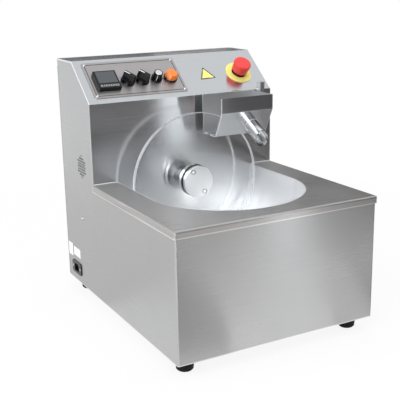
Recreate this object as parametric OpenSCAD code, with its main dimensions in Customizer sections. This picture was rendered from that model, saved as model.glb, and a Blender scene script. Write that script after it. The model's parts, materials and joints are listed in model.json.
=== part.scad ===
// Wheel-type chocolate melting tank: a folded sheet cabinet with a heated bowl in its deck,
// a clear wheel that lifts the chocolate, a lift-off scraper trough with a spout, and a
// slanted control panel over a drive compartment.
// Frame: X across the front, Y from the front to the back, Z up. The origin is on the floor
// under the middle of the cabinet.

/* [Cabinet] */
// Width over the side walls
body_w = 416; // [404:1:450]
// Depth over the front wall and the rear cover
body_d = 526; // [516:1:580]
// Overall height from the floor
total_h = 500; // [492:1:540]
// Height of the feet under the cabinet
foot_h = 26; // [18:1:30]
// Height of the deck's top face over the middle of the overall height
deck_rise = 15; // [10:1:19]
// Thickness of the cabinet sheets
sheet_t = 1.5; // [1:0.1:1.8]
// Outside radius of the sheet bends
bend_r = 4; // [3:0.5:6]
// Height of the deck's folded lip
lip_h = 14; // [10:1:20]
// Gap between the deck's lip and the walls
lip_gap = 0.5; // [0.3:0.1:1]
// Width of the folded flanges that carry the rear cover
flange_w = 16; // [12:1:22]
// Diameter of each round field of vent holes
vent_d = 49; // [40:1:60]
// Diameter of a vent hole
vent_hole_d = 4.2; // [3:0.1:5]
// Distance between vent holes
vent_pitch = 6.4; // [5.8:0.1:8]

/* [Console] */
// Depth of the drive compartment, from the splash wall's front face to the back
drive_d = 173; // [167:1:177]
// Height of the slanted panel from its lower edge to its upper edge
panel_rise = 75; // [70:1:80]
// Length of the slanted panel up its slope
panel_len = 117; // [115:1:124]

/* [Bowl] */
// Inside radius of the bowl
bowl_r = 155; // [150:1:165]
// Width of the deck in front of the bowl's round nose
bowl_margin = 42; // [28:1:52]
// Thickness of the bowl
bowl_t = 1.5; // [1:0.1:2]
// Depth of the wheel's axis under the deck's top face
axis_drop = 9; // [5:1:14]

/* [Wheel] */
// Gap between the clear disc's rim and the bowl
wheel_clear = 15; // [10:1:20]
// Thickness of the clear disc
wheel_t = 10; // [8:0.5:12]
// Gap between the splash wall and the disc
wheel_gap = 37; // [33:1:42]
// Diameter of the two clamping flanges
hub_d = 66; // [60:1:76]
// Thickness of the front clamping flange
hub_front_t = 8; // [7:0.5:12]
// Thickness of the rear clamping flange
hub_rear_t = 10; // [8:0.5:14]
// Pitch circle of the hub screws
hub_pcd = 50; // [46:1:52]
// Diameter of the drive shaft
shaft_d = 25; // [20:1:28]

/* [Scraper trough] */
// Place of the trough's open left end
trough_x = 31; // [25:1:40]
// Length of the trough
trough_len = 119; // [110:1:125]
// Depth of the trough from front sheet to back sheet
trough_d = 79.5; // [74:0.5:86]
// Gap between the splash wall and the trough
trough_gap = 17; // [15:0.5:20]
// Thickness of the trough's sheets
trough_t = 1.5; // [1:0.1:2]
// Height of the trough's rim above the wheel's axis
trough_rise = 171; // [166:1:178]
// Height of the bend in the trough's front above the wheel's axis
trough_bend_rise = 141.5; // [134:0.5:148]
// Height of the trough's underside above the wheel's axis
trough_bottom_rise = 91; // [84:1:99]
// How far the sloping front runs back below the bend
trough_slope_run = 27; // [22:1:32]
// Gap between the disc and each scraping lip
scraper_gap = 0.5; // [0.3:0.1:1]
// Outside diameter of the spout
spout_d = 30; // [24:0.5:33]
// Wall of the spout
spout_t = 1.2; // [1:0.1:2]
// Distance from the trough's right end to the middle of the spout
spout_inset = 39.5; // [32:0.5:48]
// Distance from the sloping front to the middle of the spout's mouth
spout_reach = 45; // [36:1:56]
// Height of the hanger post's top above the wheel's axis
post_rise = 190; // [186:1:196]
// Width of the hanger post
post_w = 10; // [8:0.5:12]
// Depth of the hanger post
post_d = 15; // [12:0.5:18]

/* [Controls] */
// Width of the control plate
plate_w = 204; // [198:1:210]
// Height of the control plate along the slope
plate_h = 96; // [90:1:100]
// Distance from the temperature controller's middle to the control plate's middle
plate_shift = 65; // [62:0.5:68]
// Middle of the control plate up the slope
plate_u = 60; // [58:0.5:62]
// Size of the temperature controller's square front
controller_w = 48; // [46:1:52]
// Distance from the left wall to the temperature controller's middle
controller_inset = 54.5; // [52:0.5:57]
// Place of the temperature controller up the slope
controller_u = 53; // [50:1:56]
// Distance from the temperature controller's middle to the first selector
selector_shift = 45; // [44:0.5:46.5]
// Distance between the round controls
control_pitch = 32; // [31:0.5:33]
// Height of the row of round controls up the slope
control_u = 51; // [48:1:54]
// Distance from the right wall to the emergency stop's middle
stop_inset = 56.5; // [50:0.5:63]
// Diameter of the emergency stop's collar
stop_collar_d = 58; // [52:1:64]
// Diameter of the emergency stop's head
stop_head_d = 37.5; // [36:0.5:44]
// Travel of the emergency stop
stop_travel = 5; // [3:0.5:6]
// Travel of a controller key
key_travel = 0.8; // [0.4:0.1:1]

/* [Hidden] */
$fn = 96;

// Straight steps in the arc of a sheet bend, and the overrun of every cut
bend_steps = 8;
over = 1;
// Clearances: welded or glued seats, slots that guide a moving piece, and running fits
seat_gap = 0.1;
slide_gap = 0.3;
run_gap = 0.05;

deck_overhang = sheet_t + lip_gap;
deck_w = body_w + 2 * deck_overhang;
deck_front_y = -body_d / 2 - deck_overhang;
body_front_y = -body_d / 2;
body_back_y = body_d / 2;
cover_y = body_back_y - sheet_t;
deck_z = total_h / 2 + deck_rise;
axis_z = deck_z - axis_drop;
wall_y = body_back_y - drive_d;
wall_bottom_z = deck_z - sheet_t;
wall_back_y = wall_y + sheet_t;
// Top of the walls, under the bend of the deck's lip
wall_top_z = deck_z - bend_r;
bowl_nose_y = body_front_y + bowl_margin + bowl_r;
wheel_d = 2 * (bowl_r - wheel_clear);
wheel_back_y = wall_y - wheel_gap;
wheel_front_y = wheel_back_y - wheel_t;

// Slanted panel: its lower edge, its upper edge and its slope
panel_z = total_h - panel_rise;
panel_top_y = wall_y + sqrt(pow(panel_len, 2) - pow(panel_rise, 2));
panel_angle = asin(panel_rise / panel_len);

// Side view of the console's outer face: splash wall, panel, top and rear flange
console_line = [
    [wall_y, wall_bottom_z],
    [wall_y, panel_z],
    [panel_top_y, total_h],
    [cover_y, total_h],
    [cover_y, total_h - flange_w],
];

// Margin of the splash wall around the bowl's back
tongue_margin = 7;
// Gap around the shaft in the splash wall
wall_hole_gap = 2;

// Pan-head screws of the cabinet
screw_d = 4;
screw_head_d = 8;
screw_head_h = 2;
screw_len = 8;
screw_hole_d = screw_d + 2 * slide_gap;

// Rear cover: distance of the screws from its edges
cover_edge = 9;
cover_screw_rows = 4;

// Vent fields: their places behind the splash wall and above the deck
vent_back = 60;
vent_rise = 26;
vent_y = wall_y + vent_back;
vent_z = deck_z + vent_rise;
vent_row = vent_pitch * sqrt(3) / 2;
vent_sides = 16;

// Base tray and feet
base_t = 2;
base_rim_h = 14;
foot_inset_x = 31;
foot_inset_y = 36;
foot_x = body_w / 2 - foot_inset_x;
foot_y = body_d / 2 - foot_inset_y;
foot_top_d = 36;
foot_bottom_d = 31;
foot_edge_r = 2.5;
foot_recess_d = 15;
foot_recess_h = 8;
foot_screw_d = 6;
foot_screw_head_d = 11;
foot_screw_head_h = 4;
foot_nut_d = 11.5;
foot_nut_h = 5;

// Heating and sensing under the bowl
heater_t = 2;
heater_half_angle = 55;
heater_front = 18;
heater_back = 28;
heater_y0 = bowl_nose_y + heater_front;
heater_y1 = wall_y - heater_back;
jacket_t = 16;
jacket_half_angle = 78;
jacket_front = 12;
jacket_back = 10;
jacket_y0 = bowl_nose_y + jacket_front;
jacket_y1 = wall_y - jacket_back;
sensor_front = 4;
sensor_y = bowl_nose_y - sensor_front;
sensor_w = 14;
sensor_h = 8;
sensor_stem_d = 6;
sensor_stem_h = 16;

// Chamfer of the clear disc's rim
wheel_edge = 0.8;
wheel_sides = 180;

// Hub screws: a cap screw in a counterbore
hub_screw_d = 5;
hub_screw_head_d = 8.5;
hub_screw_head_h = 5;
hub_socket_d = 4.6;
hub_socket_h = 2.8;
hub_counterbore_d = 11.4;
hub_counterbore_h = 5.4;
hub_screw_angle = 121;
hub_chamfer = 1;
hub_boss_d = 42;
hub_boss_t = 8;

// Drive train behind the splash wall
seal_d = 44;
seal_t = 4;
bearing_w = 72;
bearing_flange_t = 9;
bearing_boss_d = 52;
bearing_boss_t = 13;
bearing_bolt_d = 6;
bearing_bolt_share = 0.38;
bearing_nut_d = 11.5;
bearing_nut_h = 5;
stud_spare = 2;
coupling_d = 44;
coupling_t = 34;
coupling_screw_d = 6;
output_d = 15;
output_stick = 24;
gearbox_w = 80;
gearbox_t = 40;
gearbox_boss_d = 34;
gearbox_boss_t = 2;
gearbox_corner_r = 6;
motor_d = 76;
motor_t = 58;
motor_rib_t = 3;
motor_rib_depth = 2;
motor_rib_count = 7;
shaft_gap = 3;
beam_h = 58;
beam_w = 62;
beam_t = 3;
motor_screw_d = 5;
motor_screw_head_d = 9;
motor_screw_head_h = 4;
motor_screw_share = 0.36;
motor_screw_len = 12;

bearing_back_y = wall_back_y + bearing_flange_t + bearing_boss_t;
coupling_y = bearing_back_y + shaft_gap;
gearbox_y = coupling_y + coupling_t + shaft_gap;
motor_y = gearbox_y + gearbox_t;
beam_top_z = axis_z - gearbox_w / 2;
beam_y = gearbox_y + gearbox_t / 2;
// Screws in the side walls that hold the beam, at shares of its section
beam_screw_y_share = 0.17;
beam_screw_z_share = 0.65;
beam_screw_y = beam_y - beam_w * beam_screw_y_share;
beam_screw_z = beam_top_z - beam_h * beam_screw_z_share;

// Trough: front and back faces, bends, slot and end
trough_back_y = wall_y - trough_gap;
trough_front_y = trough_back_y - trough_d;
trough_right_x = trough_x + trough_len;
trough_top_z = axis_z + trough_rise;
trough_bend_z = axis_z + trough_bend_rise;
trough_bottom_z = axis_z + trough_bottom_rise;
post_top_z = axis_z + post_rise;
spout_x = trough_right_x - spout_inset;
trough_r = 3;
slot_front_y = wheel_front_y - scraper_gap;
slot_back_y = wheel_back_y + scraper_gap;
slot_end_gap = 6;
// Upturned scraping lip along each edge of the slot
lip_up = 6;
trough_slope_angle = atan2(trough_slope_run, trough_bend_z - trough_bottom_z);
// Reach of the disc at the trough's underside
wheel_reach = sqrt(pow(wheel_d / 2, 2) - pow(trough_bottom_z - axis_z, 2));
slot_end_x = wheel_reach + slot_end_gap;
// Height of the spout's root on the sloping front, as a share of the slope
spout_root_share = 0.64;
spout_root_y = trough_front_y + trough_slope_run * spout_root_share;
spout_root_z = trough_bend_z - (trough_bend_z - trough_bottom_z) * spout_root_share;
spout_mouth_y = spout_root_y - spout_reach * cos(trough_slope_angle);

front_line = [
    [trough_front_y, trough_top_z],
    [trough_front_y, trough_bend_z],
    [trough_front_y + trough_slope_run, trough_bottom_z],
    [slot_front_y, trough_bottom_z],
];
back_line = [
    [trough_back_y, trough_top_z],
    [trough_back_y, trough_bottom_z],
    [slot_back_y, trough_bottom_z],
];
front_lip = [slot_front_y, trough_bottom_z + lip_up];
back_lip = [slot_back_y, trough_bottom_z + lip_up];

// Hanger: post, arm and wall plate, and the sleeve and stop tab on the trough
sleeve_t = 1.5;
sleeve_h = 35;
post_x = trough_right_x + sleeve_t + slide_gap;
post_y = (wheel_front_y + wheel_back_y - post_d) / 2 + sleeve_t;
arm_drop = 40;
arm_panel_drop = 38;
arm_top_z = min(trough_top_z - arm_drop, panel_z - arm_panel_drop);
arm_h = 20;
hanger_plate_w = 34;
hanger_plate_h = 52;
hanger_plate_t = 3;
hanger_screw_pitch = 36;
stop_tab_w = 12;
stop_tab_inset = 32;
stop_tab_x = trough_right_x - stop_tab_inset;

// Places across the panel
controller_x = -body_w / 2 + controller_inset;
plate_x = controller_x + plate_shift;
selector_x = controller_x + selector_shift;
stop_x = body_w / 2 - stop_inset;

// Control plate and its screws
plate_t = 1;
plate_r = 4;
plate_screw_inset = 6;
plate_screw_d = 3;
plate_screw_head_d = 6;
plate_screw_head_h = 1.6;
plate_screw_len = 6;

// Controller: front frame, case behind the panel, window and keys
controller_h = 9;
controller_r = 2;
controller_case_w = 44.6;
controller_case_d = 66;
window_w = 40;
window_h = 30;
window_t = 1;
window_rise_u = 5.5;
key_count = 4;
key_w = 8.6;
key_h = 5;
key_pitch = 10;
key_drop_u = 17.5;
key_depth = 3;
key_rise = 1.2;

// Round devices in the panel: ring, threaded barrel, nut and contact block
device_d = 22;
device_hole_d = device_d + 2 * slide_gap;
device_ring_d = 29.5;
device_ring_h = 3;
device_ring_edge = 1;
device_nut_d = 28;
device_nut_h = 4;
block_w = 29;
block_d = 40;

// Selector knobs: disc, wedge grip and pointer groove
selector_stem_d = 11;
selector_stem_h = 10;
selector_disc_d = 27;
selector_disc_h = 6;
selector_grip_h = 12;
selector_grip_root = 15;
selector_grip_tip = 8;
selector_mark_w = 2.2;
selector_mark_depth = 0.6;
selector_rest_angle = 45;

// Speed knob: skirt, fluted body, cap and pointer rib
speed_bush_d = 9;
speed_nut_d = 14;
speed_nut_h = 2;
speed_pot_d = 24;
speed_pot_h = 13;
speed_stem_d = 6;
speed_skirt_d = 23.5;
speed_skirt_h = 4;
speed_body_d = 20;
speed_top_d = 18;
speed_knob_h = 18;
speed_under_d = 17;
speed_under_h = 2.6;
speed_lift = 0.6;
speed_flute_d = 2.6;
speed_flute_count = 14;
speed_cap_d = 14;
speed_cap_h = 1.2;
speed_rib_w = 1.4;
speed_rib_h = 1;
speed_rest_angle = 150;

// Pilot lamp: black ring and stepped lens
lamp_ring_d = 29;
lamp_ring_h = 5;
lamp_lens_d = 26.5;
lamp_lens_h = 7;
lamp_cap_d = 23.5;
lamp_cap_h = 3.5;
lamp_edge = 1.5;

// Emergency stop: collar plate, ring, stem and mushroom head
stop_collar_t = 2;
stop_ring_d = 32;
stop_ring_h = 1.5;
stop_stem_d = 17;
stop_stem_rise = 11;
stop_stem_sink = 8;
stop_head_h = 21.5;
stop_head_edge = 3.5;
stop_waist_d = 34.5;
stop_head_lift = 0.5;

// Power inlet in the left wall
inlet_back = 52;
inlet_y = body_back_y - inlet_back;
inlet_rise = 30;
inlet_z = foot_h + inlet_rise;
inlet_w = 50;
inlet_h = 27;
inlet_t = 2;
inlet_r = 5;
inlet_body_w = 28;
inlet_body_h = 20.5;
inlet_body_d = 27;
inlet_mouth_w = 24.4;
inlet_mouth_h = 16.4;
inlet_mouth_d = 20;
inlet_mouth_cut = 4;
inlet_screw_pitch = 40;
inlet_screw_d = 3;
inlet_screw_head_d = 6;
inlet_screw_head_h = 1.5;
inlet_screw_len = 8;
pin_pitch = 7;
pin_w = 4;
pin_t = 2;
pin_len = 14;
pin_earth_rise = 3;

// Speed control board on the base tray
board_w = 120;
board_h = 80;
board_side = 63;
board_back = 38;
board_x = body_w / 2 - board_side - board_w / 2;
board_y = body_back_y - board_back - board_h / 2;
board_t = 1.6;
board_lift = 10;
standoff_d = 7;
standoff_inset = 6;
board_screw_d = 3;
transformer_w = 42;
transformer_d = 36;
transformer_h = 34;
capacitor_d = 14;
capacitor_h = 26;
heatsink_w = 30;
heatsink_d = 12;
heatsink_h = 30;
terminal_w = 70;
terminal_d = 22;
terminal_side = 63;
terminal_back = 47;
terminal_x = -body_w / 2 + terminal_side + terminal_w / 2;
terminal_y = body_back_y - terminal_back - terminal_d / 2;
terminal_h = 18;
terminal_count = 6;
terminal_well_d = 7;
terminal_well_h = 9;

// Helpers: arcs, rounded outlines and folded sheet profiles

function arc(c, r, a0, a1) = [
    for (i = [0:bend_steps])
        c + r * [cos(a0 + (a1 - a0) * i / bend_steps), sin(a0 + (a1 - a0) * i / bend_steps)]
];

function reversed(v) = [for (i = [len(v) - 1:-1:0]) v[i]];
function unit(v) = v / norm(v);
function left_of(d) = [-d.y, d.x];
function turned(v, a) = [v.x * cos(a) - v.y * sin(a), v.x * sin(a) + v.y * cos(a)];

// Rounded rectangle around the origin
function rounded_rect(w, h, r) = concat(
    arc([w / 2 - r, h / 2 - r], r, 0, 90),
    arc([-w / 2 + r, h / 2 - r], r, 90, 180),
    arc([-w / 2 + r, -h / 2 + r], r, 180, 270),
    arc([w / 2 - r, -h / 2 + r], r, 270, 360)
);

// Rectangle that stands on the X axis, with its two upper corners rounded
function arched(w, h, r) = concat(
    [[-w / 2, 0], [w / 2, 0]],
    arc([w / 2 - r, h - r], r, 0, 90),
    arc([-w / 2 + r, h - r], r, 90, 180)
);

// Arc of a bend at corner q between directions d0 and d1, moved off to the left
function bend_points(q, d0, d1, r, off) =
    let (s = sign(cross(d0, d1)), a = s * acos(d0 * d1))
    let (c = q + s * r / cos(a / 2) * unit(left_of(d0) + left_of(d1)))
    [for (k = [0:bend_steps]) c - s * (r - s * off) * turned(left_of(d0), a * k / bend_steps)];

// Line through the corners p with bends of radius r, moved off to the left
function fold_line(p, r, off) = [
    for (i = [0:len(p) - 1])
        let (n = len(p) - 1)
        let (d0 = unit(p[max(i, 1)] - p[max(i, 1) - 1]))
        let (d1 = unit(p[min(i + 1, n)] - p[min(i + 1, n) - 1]))
        each (i == 0 || i == n)
            ? [p[i] + off * left_of(i == 0 ? d1 : d0)]
            : bend_points(p[i], d0, d1, r, off)
];

// Cross-section of a folded sheet whose face runs along p
module folded(p, r, t) {
    polygon(concat(fold_line(p, r, 0), reversed(fold_line(p, r, t))));
}

// Extrudes a side view, drawn in Y and Z, along X
module along_x(x0, x1) {
    translate([x0, 0, 0]) rotate([90, 0, 90]) linear_extrude(x1 - x0) children();
}

// Extrudes a front view, drawn in X and Z, along Y
module along_y(y0, y1) {
    translate([0, y1, 0]) rotate([90, 0, 0]) linear_extrude(y1 - y0) children();
}

// Turns a shape drawn along Z to point along Y, on the wheel's axis
module on_axis(y) {
    translate([0, y, axis_z]) rotate([-90, 0, 0]) children();
}

// Places a shape on the slanted panel: x across, u up the slope, Z outward
module on_panel(x, u) {
    translate([0, wall_y, panel_z]) rotate([panel_angle, 0, 0]) translate([x, u, 0]) children();
}

// Places a shape on the left wall, with Z outward and X up
module on_left_wall(y, z) {
    translate([-body_w / 2, y, z]) rotate([0, -90, 0]) children();
}

// Block on the XY plane with rounded corners and rounded top edges
module soft_block(w, d, h, r) {
    intersection() {
        linear_extrude(h) polygon(rounded_rect(w, d, r));
        along_y(-d / 2, d / 2) polygon(arched(w, h, r));
        along_x(-w / 2, w / 2) polygon(arched(d, h, r));
    }
}

// Round disc with a chamfered upper edge
module chamfered_disc(d, h, c) {
    cylinder(d = d, h = h - c);
    translate([0, 0, h - c]) cylinder(d1 = d, d2 = d - 2 * c, h = c);
}

// Screw along -Z with a rounded-edge pan head above the XY plane
module pan_screw(d, head_d, head_h, length) {
    chamfered_disc(head_d, head_h, head_h / 3);
    translate([0, 0, -length]) cylinder(d = d, h = length);
}

// Cabinet

module cover_screw_places() {
    for (sx = [-1, 1], row = [0:cover_screw_rows - 1]) {
        z0 = foot_h + cover_edge;
        z1 = total_h - cover_edge;
        z = z0 + (z1 - z0) * row / (cover_screw_rows - 1);
        translate([sx * (body_w / 2 - cover_edge), body_back_y, z]) rotate([-90, 0, 0]) children();
    }
}

module cover_screw_holes() {
    cover_screw_places() translate([0, 0, -screw_len - over])
        cylinder(d = screw_hole_d, h = screw_len + 2 * over);
}

module side_screw_places() {
    for (s = [-1, 1])
        translate([s * body_w / 2, beam_screw_y, beam_screw_z]) rotate([0, s * 90, 0]) children();
}

// Hexagonal field of holes across the whole width
module vent_holes() {
    rows = floor(vent_d / vent_row / 2);
    columns = ceil(vent_d / vent_pitch / 2);
    reach = (vent_d - vent_hole_d) / 2;
    for (i = [-rows:rows], j = [-columns:columns]) {
        p = [(2 * j + abs(i) % 2) * vent_pitch / 2, i * vent_row];
        if (norm(p) <= reach)
            translate([-body_w / 2 - over, vent_y + p.x, vent_z + p.y])
                rotate([0, 90, 0]) cylinder(d = vent_hole_d, h = body_w + 2 * over, $fn = vent_sides);
    }
}

// Side view of the walls: up to the deck in front, up to the console sheet behind
module wall_side() {
    inner = fold_line(console_line, bend_r, -sheet_t - seat_gap);
    last = inner[len(inner) - 1];
    polygon(concat(
        [[body_front_y - over, foot_h], [body_front_y - over, wall_top_z], [inner[0].x, wall_top_z]],
        inner,
        [[last.x, last.y - seat_gap], [body_back_y, last.y - seat_gap], [body_back_y, foot_h]]
    ));
}

module body_wrap() {
    color("lightgray") difference() {
        intersection() {
            linear_extrude(total_h) folded([
                [-body_w / 2 + flange_w, cover_y],
                [-body_w / 2, cover_y],
                [-body_w / 2, body_front_y],
                [body_w / 2, body_front_y],
                [body_w / 2, cover_y],
                [body_w / 2 - flange_w, cover_y],
            ], bend_r, sheet_t);
            along_x(-body_w / 2 - over, body_w / 2 + over) wall_side();
        }
        vent_holes();
        cover_screw_holes();
        side_screw_places() translate([0, 0, -screw_len]) cylinder(d = screw_hole_d, h = screw_len + over);
        on_left_wall(inlet_y, inlet_z) inlet_cut();
    }
}

// Outline of the bowl in plan, open to the splash wall
module bowl_plan(r, back_y) {
    intersection() {
        union() {
            translate([0, bowl_nose_y]) circle(r);
            translate([-r, bowl_nose_y]) square([2 * r, back_y - bowl_nose_y]);
        }
        translate([-r, bowl_nose_y - r]) square([2 * r, back_y - bowl_nose_y + r]);
    }
}

// Half section of the bowl's bullet shape, along its axis
module bowl_section(r) {
    intersection() {
        union() {
            translate([0, bowl_nose_y]) circle(r);
            translate([0, bowl_nose_y]) square([r, wall_y - bowl_nose_y]);
        }
        translate([0, bowl_nose_y - r]) square([r, wall_y - bowl_nose_y + r]);
    }
}

module bowl() {
    color("gainsboro") {
        on_axis(0) rotate_extrude(angle = 180, start = 0) difference() {
            bowl_section(bowl_r + bowl_t);
            bowl_section(bowl_r);
        }
        translate([0, 0, axis_z]) linear_extrude(deck_z - axis_z) difference() {
            bowl_plan(bowl_r + bowl_t, wall_y);
            bowl_plan(bowl_r, wall_y + over);
        }
    }
}

// Block of the deck drawn in by the inset, with rounded front corners and top edges
module deck_block(inset, drop, spare) {
    w = deck_w - 2 * inset;
    y0 = deck_front_y + inset;
    y1 = wall_y + spare;
    h = lip_h - inset + drop;
    r = bend_r - inset;
    z0 = deck_z - lip_h - drop;
    intersection() {
        translate([0, 0, z0]) linear_extrude(h) polygon(concat(
            [[w / 2, y1], [-w / 2, y1]],
            arc([-w / 2 + r, y0 + r], r, 180, 270),
            arc([w / 2 - r, y0 + r], r, 270, 360)
        ));
        along_y(y0, y1) translate([0, z0]) polygon(arched(w, h, r));
        along_x(-w / 2, w / 2) polygon(concat(
            [[y1, z0], [y1, z0 + h]],
            arc([y0 + r, z0 + h - r], r, 90, 180),
            [[y0, z0]]
        ));
    }
}

module deck() {
    color("silver") difference() {
        deck_block(0, 0, 0);
        deck_block(sheet_t, over, over);
        translate([0, 0, deck_z - lip_h]) linear_extrude(lip_h + over)
            bowl_plan(bowl_r + bowl_t + seat_gap, wall_y + over);
    }
}

// Round holes of the panel: two selectors, the speed knob, the lamp and the stop
module panel_holes() {
    for (i = [0, 1, 3])
        on_panel(selector_x + i * control_pitch, control_u)
            translate([0, 0, -sheet_t - over]) cylinder(d = device_hole_d, h = sheet_t + plate_t + 2 * over);
    on_panel(selector_x + 2 * control_pitch, control_u)
        translate([0, 0, -sheet_t - over])
            cylinder(d = speed_bush_d + 2 * slide_gap, h = sheet_t + plate_t + 2 * over);
    on_panel(controller_x, controller_u) translate([0, 0, -sheet_t - over])
        linear_extrude(sheet_t + plate_t + 2 * over) square(controller_case_w + 2 * slide_gap, center = true);
    plate_screw_places() translate([0, 0, -plate_screw_len - over])
        cylinder(d = plate_screw_d + 2 * slide_gap, h = plate_screw_len + plate_t + 2 * over);
}

module hanger_screw_places() {
    mid_z = arm_top_z - arm_h / 2;
    for (s = [-1, 1])
        translate([post_x + post_w / 2, wall_y - hanger_plate_t, mid_z + s * hanger_screw_pitch / 2])
            rotate([90, 0, 0]) children();
}

module console_face() {
    color("lightsteelblue") difference() {
        union() {
            along_x(-body_w / 2, body_w / 2) folded(console_line, bend_r, -sheet_t);
            along_y(wall_y, wall_back_y) {
                r = bowl_r + bowl_t + tongue_margin;
                translate([0, axis_z]) circle(r);
                translate([-r, axis_z]) square([2 * r, deck_z - axis_z]);
            }
        }
        along_y(wall_y - over, wall_back_y + over) translate([0, axis_z]) circle(shaft_d / 2 + wall_hole_gap);
        panel_holes();
        on_panel(stop_x, control_u) translate([0, 0, -sheet_t - over])
            cylinder(d = device_hole_d, h = sheet_t + 2 * over);
        hanger_screw_places() translate([0, 0, -screw_len]) cylinder(d = screw_hole_d, h = screw_len + over);
        cover_screw_holes();
    }
}

module rear_cover() {
    color("lightgray") difference() {
        along_y(cover_y, body_back_y) translate([0, (total_h + foot_h) / 2])
            polygon(rounded_rect(body_w, total_h - foot_h, sheet_t));
        cover_screw_holes();
    }
}

module rear_cover_screws() {
    color("gray") cover_screw_places() pan_screw(screw_d, screw_head_d, screw_head_h, screw_len);
}

module side_screws() {
    color("gray") side_screw_places() pan_screw(screw_d, screw_head_d, screw_head_h, screw_len);
}

module base_tray() {
    w = body_w - 2 * (sheet_t + seat_gap);
    y0 = body_front_y + sheet_t + seat_gap;
    y1 = cover_y - sheet_t - seat_gap;
    color("darkgray") difference() {
        translate([0, (y0 + y1) / 2, foot_h]) difference() {
            linear_extrude(base_t + base_rim_h) polygon(rounded_rect(w, y1 - y0, bend_r));
            translate([0, 0, base_t]) linear_extrude(base_rim_h + over)
                polygon(rounded_rect(w - 2 * base_t, y1 - y0 - 2 * base_t, bend_r - base_t));
        }
        foot_places() translate([0, 0, foot_h - over])
            cylinder(d = foot_screw_d + 2 * slide_gap, h = base_t + 2 * over);
        cover_screw_holes();
    }
}

module foot_places() {
    for (sx = [-1, 1], sy = [-1, 1]) translate([sx * foot_x, sy * foot_y, 0]) children();
}

module feet() {
    hole_r = foot_screw_d / 2 + slide_gap;
    color("dimgray") foot_places() rotate_extrude() polygon([
        [foot_recess_d / 2, 0],
        [foot_bottom_d / 2 - foot_edge_r, 0],
        [foot_bottom_d / 2, foot_edge_r],
        [foot_top_d / 2, foot_h],
        [hole_r, foot_h],
        [hole_r, foot_recess_h],
        [foot_recess_d / 2, foot_recess_h],
    ]);
}

module foot_screws() {
    top = foot_h + base_t;
    color("gray") foot_places() {
        translate([0, 0, foot_recess_h - foot_screw_head_h])
            cylinder(d = foot_screw_head_d, h = foot_screw_head_h);
        translate([0, 0, foot_recess_h])
            cylinder(d = foot_screw_d, h = top + foot_nut_h + stud_spare - foot_recess_h);
        translate([0, 0, top]) cylinder(d = foot_nut_d, h = foot_nut_h, $fn = 6);
    }
}

// Heating under the bowl

// Part of a ring around the wheel's axis, centred on the downward direction
module under_bowl(r, t, half_angle, y0, y1) {
    on_axis(0) rotate_extrude(angle = 2 * half_angle, start = 90 - half_angle)
        translate([r, y0]) square([t, y1 - y0]);
}

module heater_mat() {
    r = bowl_r + bowl_t + seat_gap;
    color("darkorange") under_bowl(r, heater_t, heater_half_angle, heater_y0, heater_y1);
}

module insulation_jacket() {
    r = bowl_r + bowl_t + heater_t + 2 * seat_gap;
    color("khaki") under_bowl(r, jacket_t, jacket_half_angle, jacket_y0, jacket_y1);
}

module bowl_sensor() {
    top = axis_z - bowl_r - bowl_t - seat_gap;
    color("goldenrod") translate([0, sensor_y, top - sensor_h]) {
        translate([0, 0, -sensor_stem_h]) cylinder(d = sensor_stem_d, h = sensor_stem_h);
        linear_extrude(sensor_h) square(sensor_w, center = true);
    }
}

// Wheel and hub

module hub_screw_places() {
    for (s = [-1, 1])
        translate(s * hub_pcd / 2 * [cos(hub_screw_angle), 0, sin(hub_screw_angle)]) children();
}

module wheel_disc() {
    color("lightcyan", 0.4) difference() {
        on_axis(wheel_front_y) rotate_extrude($fn = wheel_sides) polygon([
            [shaft_d / 2 + seat_gap, 0],
            [wheel_d / 2 - wheel_edge, 0],
            [wheel_d / 2, wheel_edge],
            [wheel_d / 2, wheel_t - wheel_edge],
            [wheel_d / 2 - wheel_edge, wheel_t],
            [shaft_d / 2 + seat_gap, wheel_t],
        ]);
        hub_screw_places() on_axis(wheel_front_y - over)
            cylinder(d = hub_screw_d + 2 * slide_gap, h = wheel_t + 2 * over);
    }
}

module hub_front_flange() {
    color("gainsboro") difference() {
        translate([0, wheel_front_y, axis_z]) rotate([90, 0, 0])
            chamfered_disc(hub_d, hub_front_t, hub_chamfer);
        hub_screw_places() on_axis(wheel_front_y - hub_front_t - over) {
            cylinder(d = hub_screw_d + 2 * slide_gap, h = hub_front_t + 2 * over);
            cylinder(d = hub_counterbore_d, h = hub_counterbore_h + over);
        }
    }
}

module hub_rear_flange() {
    color("silver") difference() {
        on_axis(wheel_back_y) {
            chamfered_disc(hub_d, hub_rear_t, hub_chamfer);
            cylinder(d = hub_boss_d, h = hub_rear_t + hub_boss_t);
        }
        on_axis(wheel_back_y - over)
            cylinder(d = shaft_d + 2 * seat_gap, h = hub_rear_t + hub_boss_t + 2 * over);
        hub_screw_places() on_axis(wheel_back_y - over)
            cylinder(d = hub_screw_d + 2 * slide_gap, h = hub_rear_t + 2 * over);
    }
}

module hub_screws() {
    seat_y = wheel_front_y - hub_front_t + hub_counterbore_h;
    color("gray") difference() {
        hub_screw_places() on_axis(seat_y - hub_screw_head_h) {
            cylinder(d = hub_screw_head_d, h = hub_screw_head_h);
            cylinder(d = hub_screw_d, h = hub_screw_head_h + wheel_back_y - seat_y + hub_rear_t);
        }
        hub_screw_places() on_axis(seat_y - hub_screw_head_h - over)
            cylinder(d = hub_socket_d, h = hub_socket_h + over, $fn = 6);
    }
}

module drive_shaft() {
    color("silver") on_axis(wheel_front_y)
        cylinder(d = shaft_d, h = coupling_y + coupling_t / 2 - wheel_front_y);
}

// Drive train behind the splash wall

module bearing_stud_places() {
    p = bearing_w * bearing_bolt_share;
    for (sx = [-1, 1], sz = [-1, 1])
        translate([sx * p, wall_back_y, axis_z + sz * p]) rotate([-90, 0, 0]) children();
}

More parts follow.
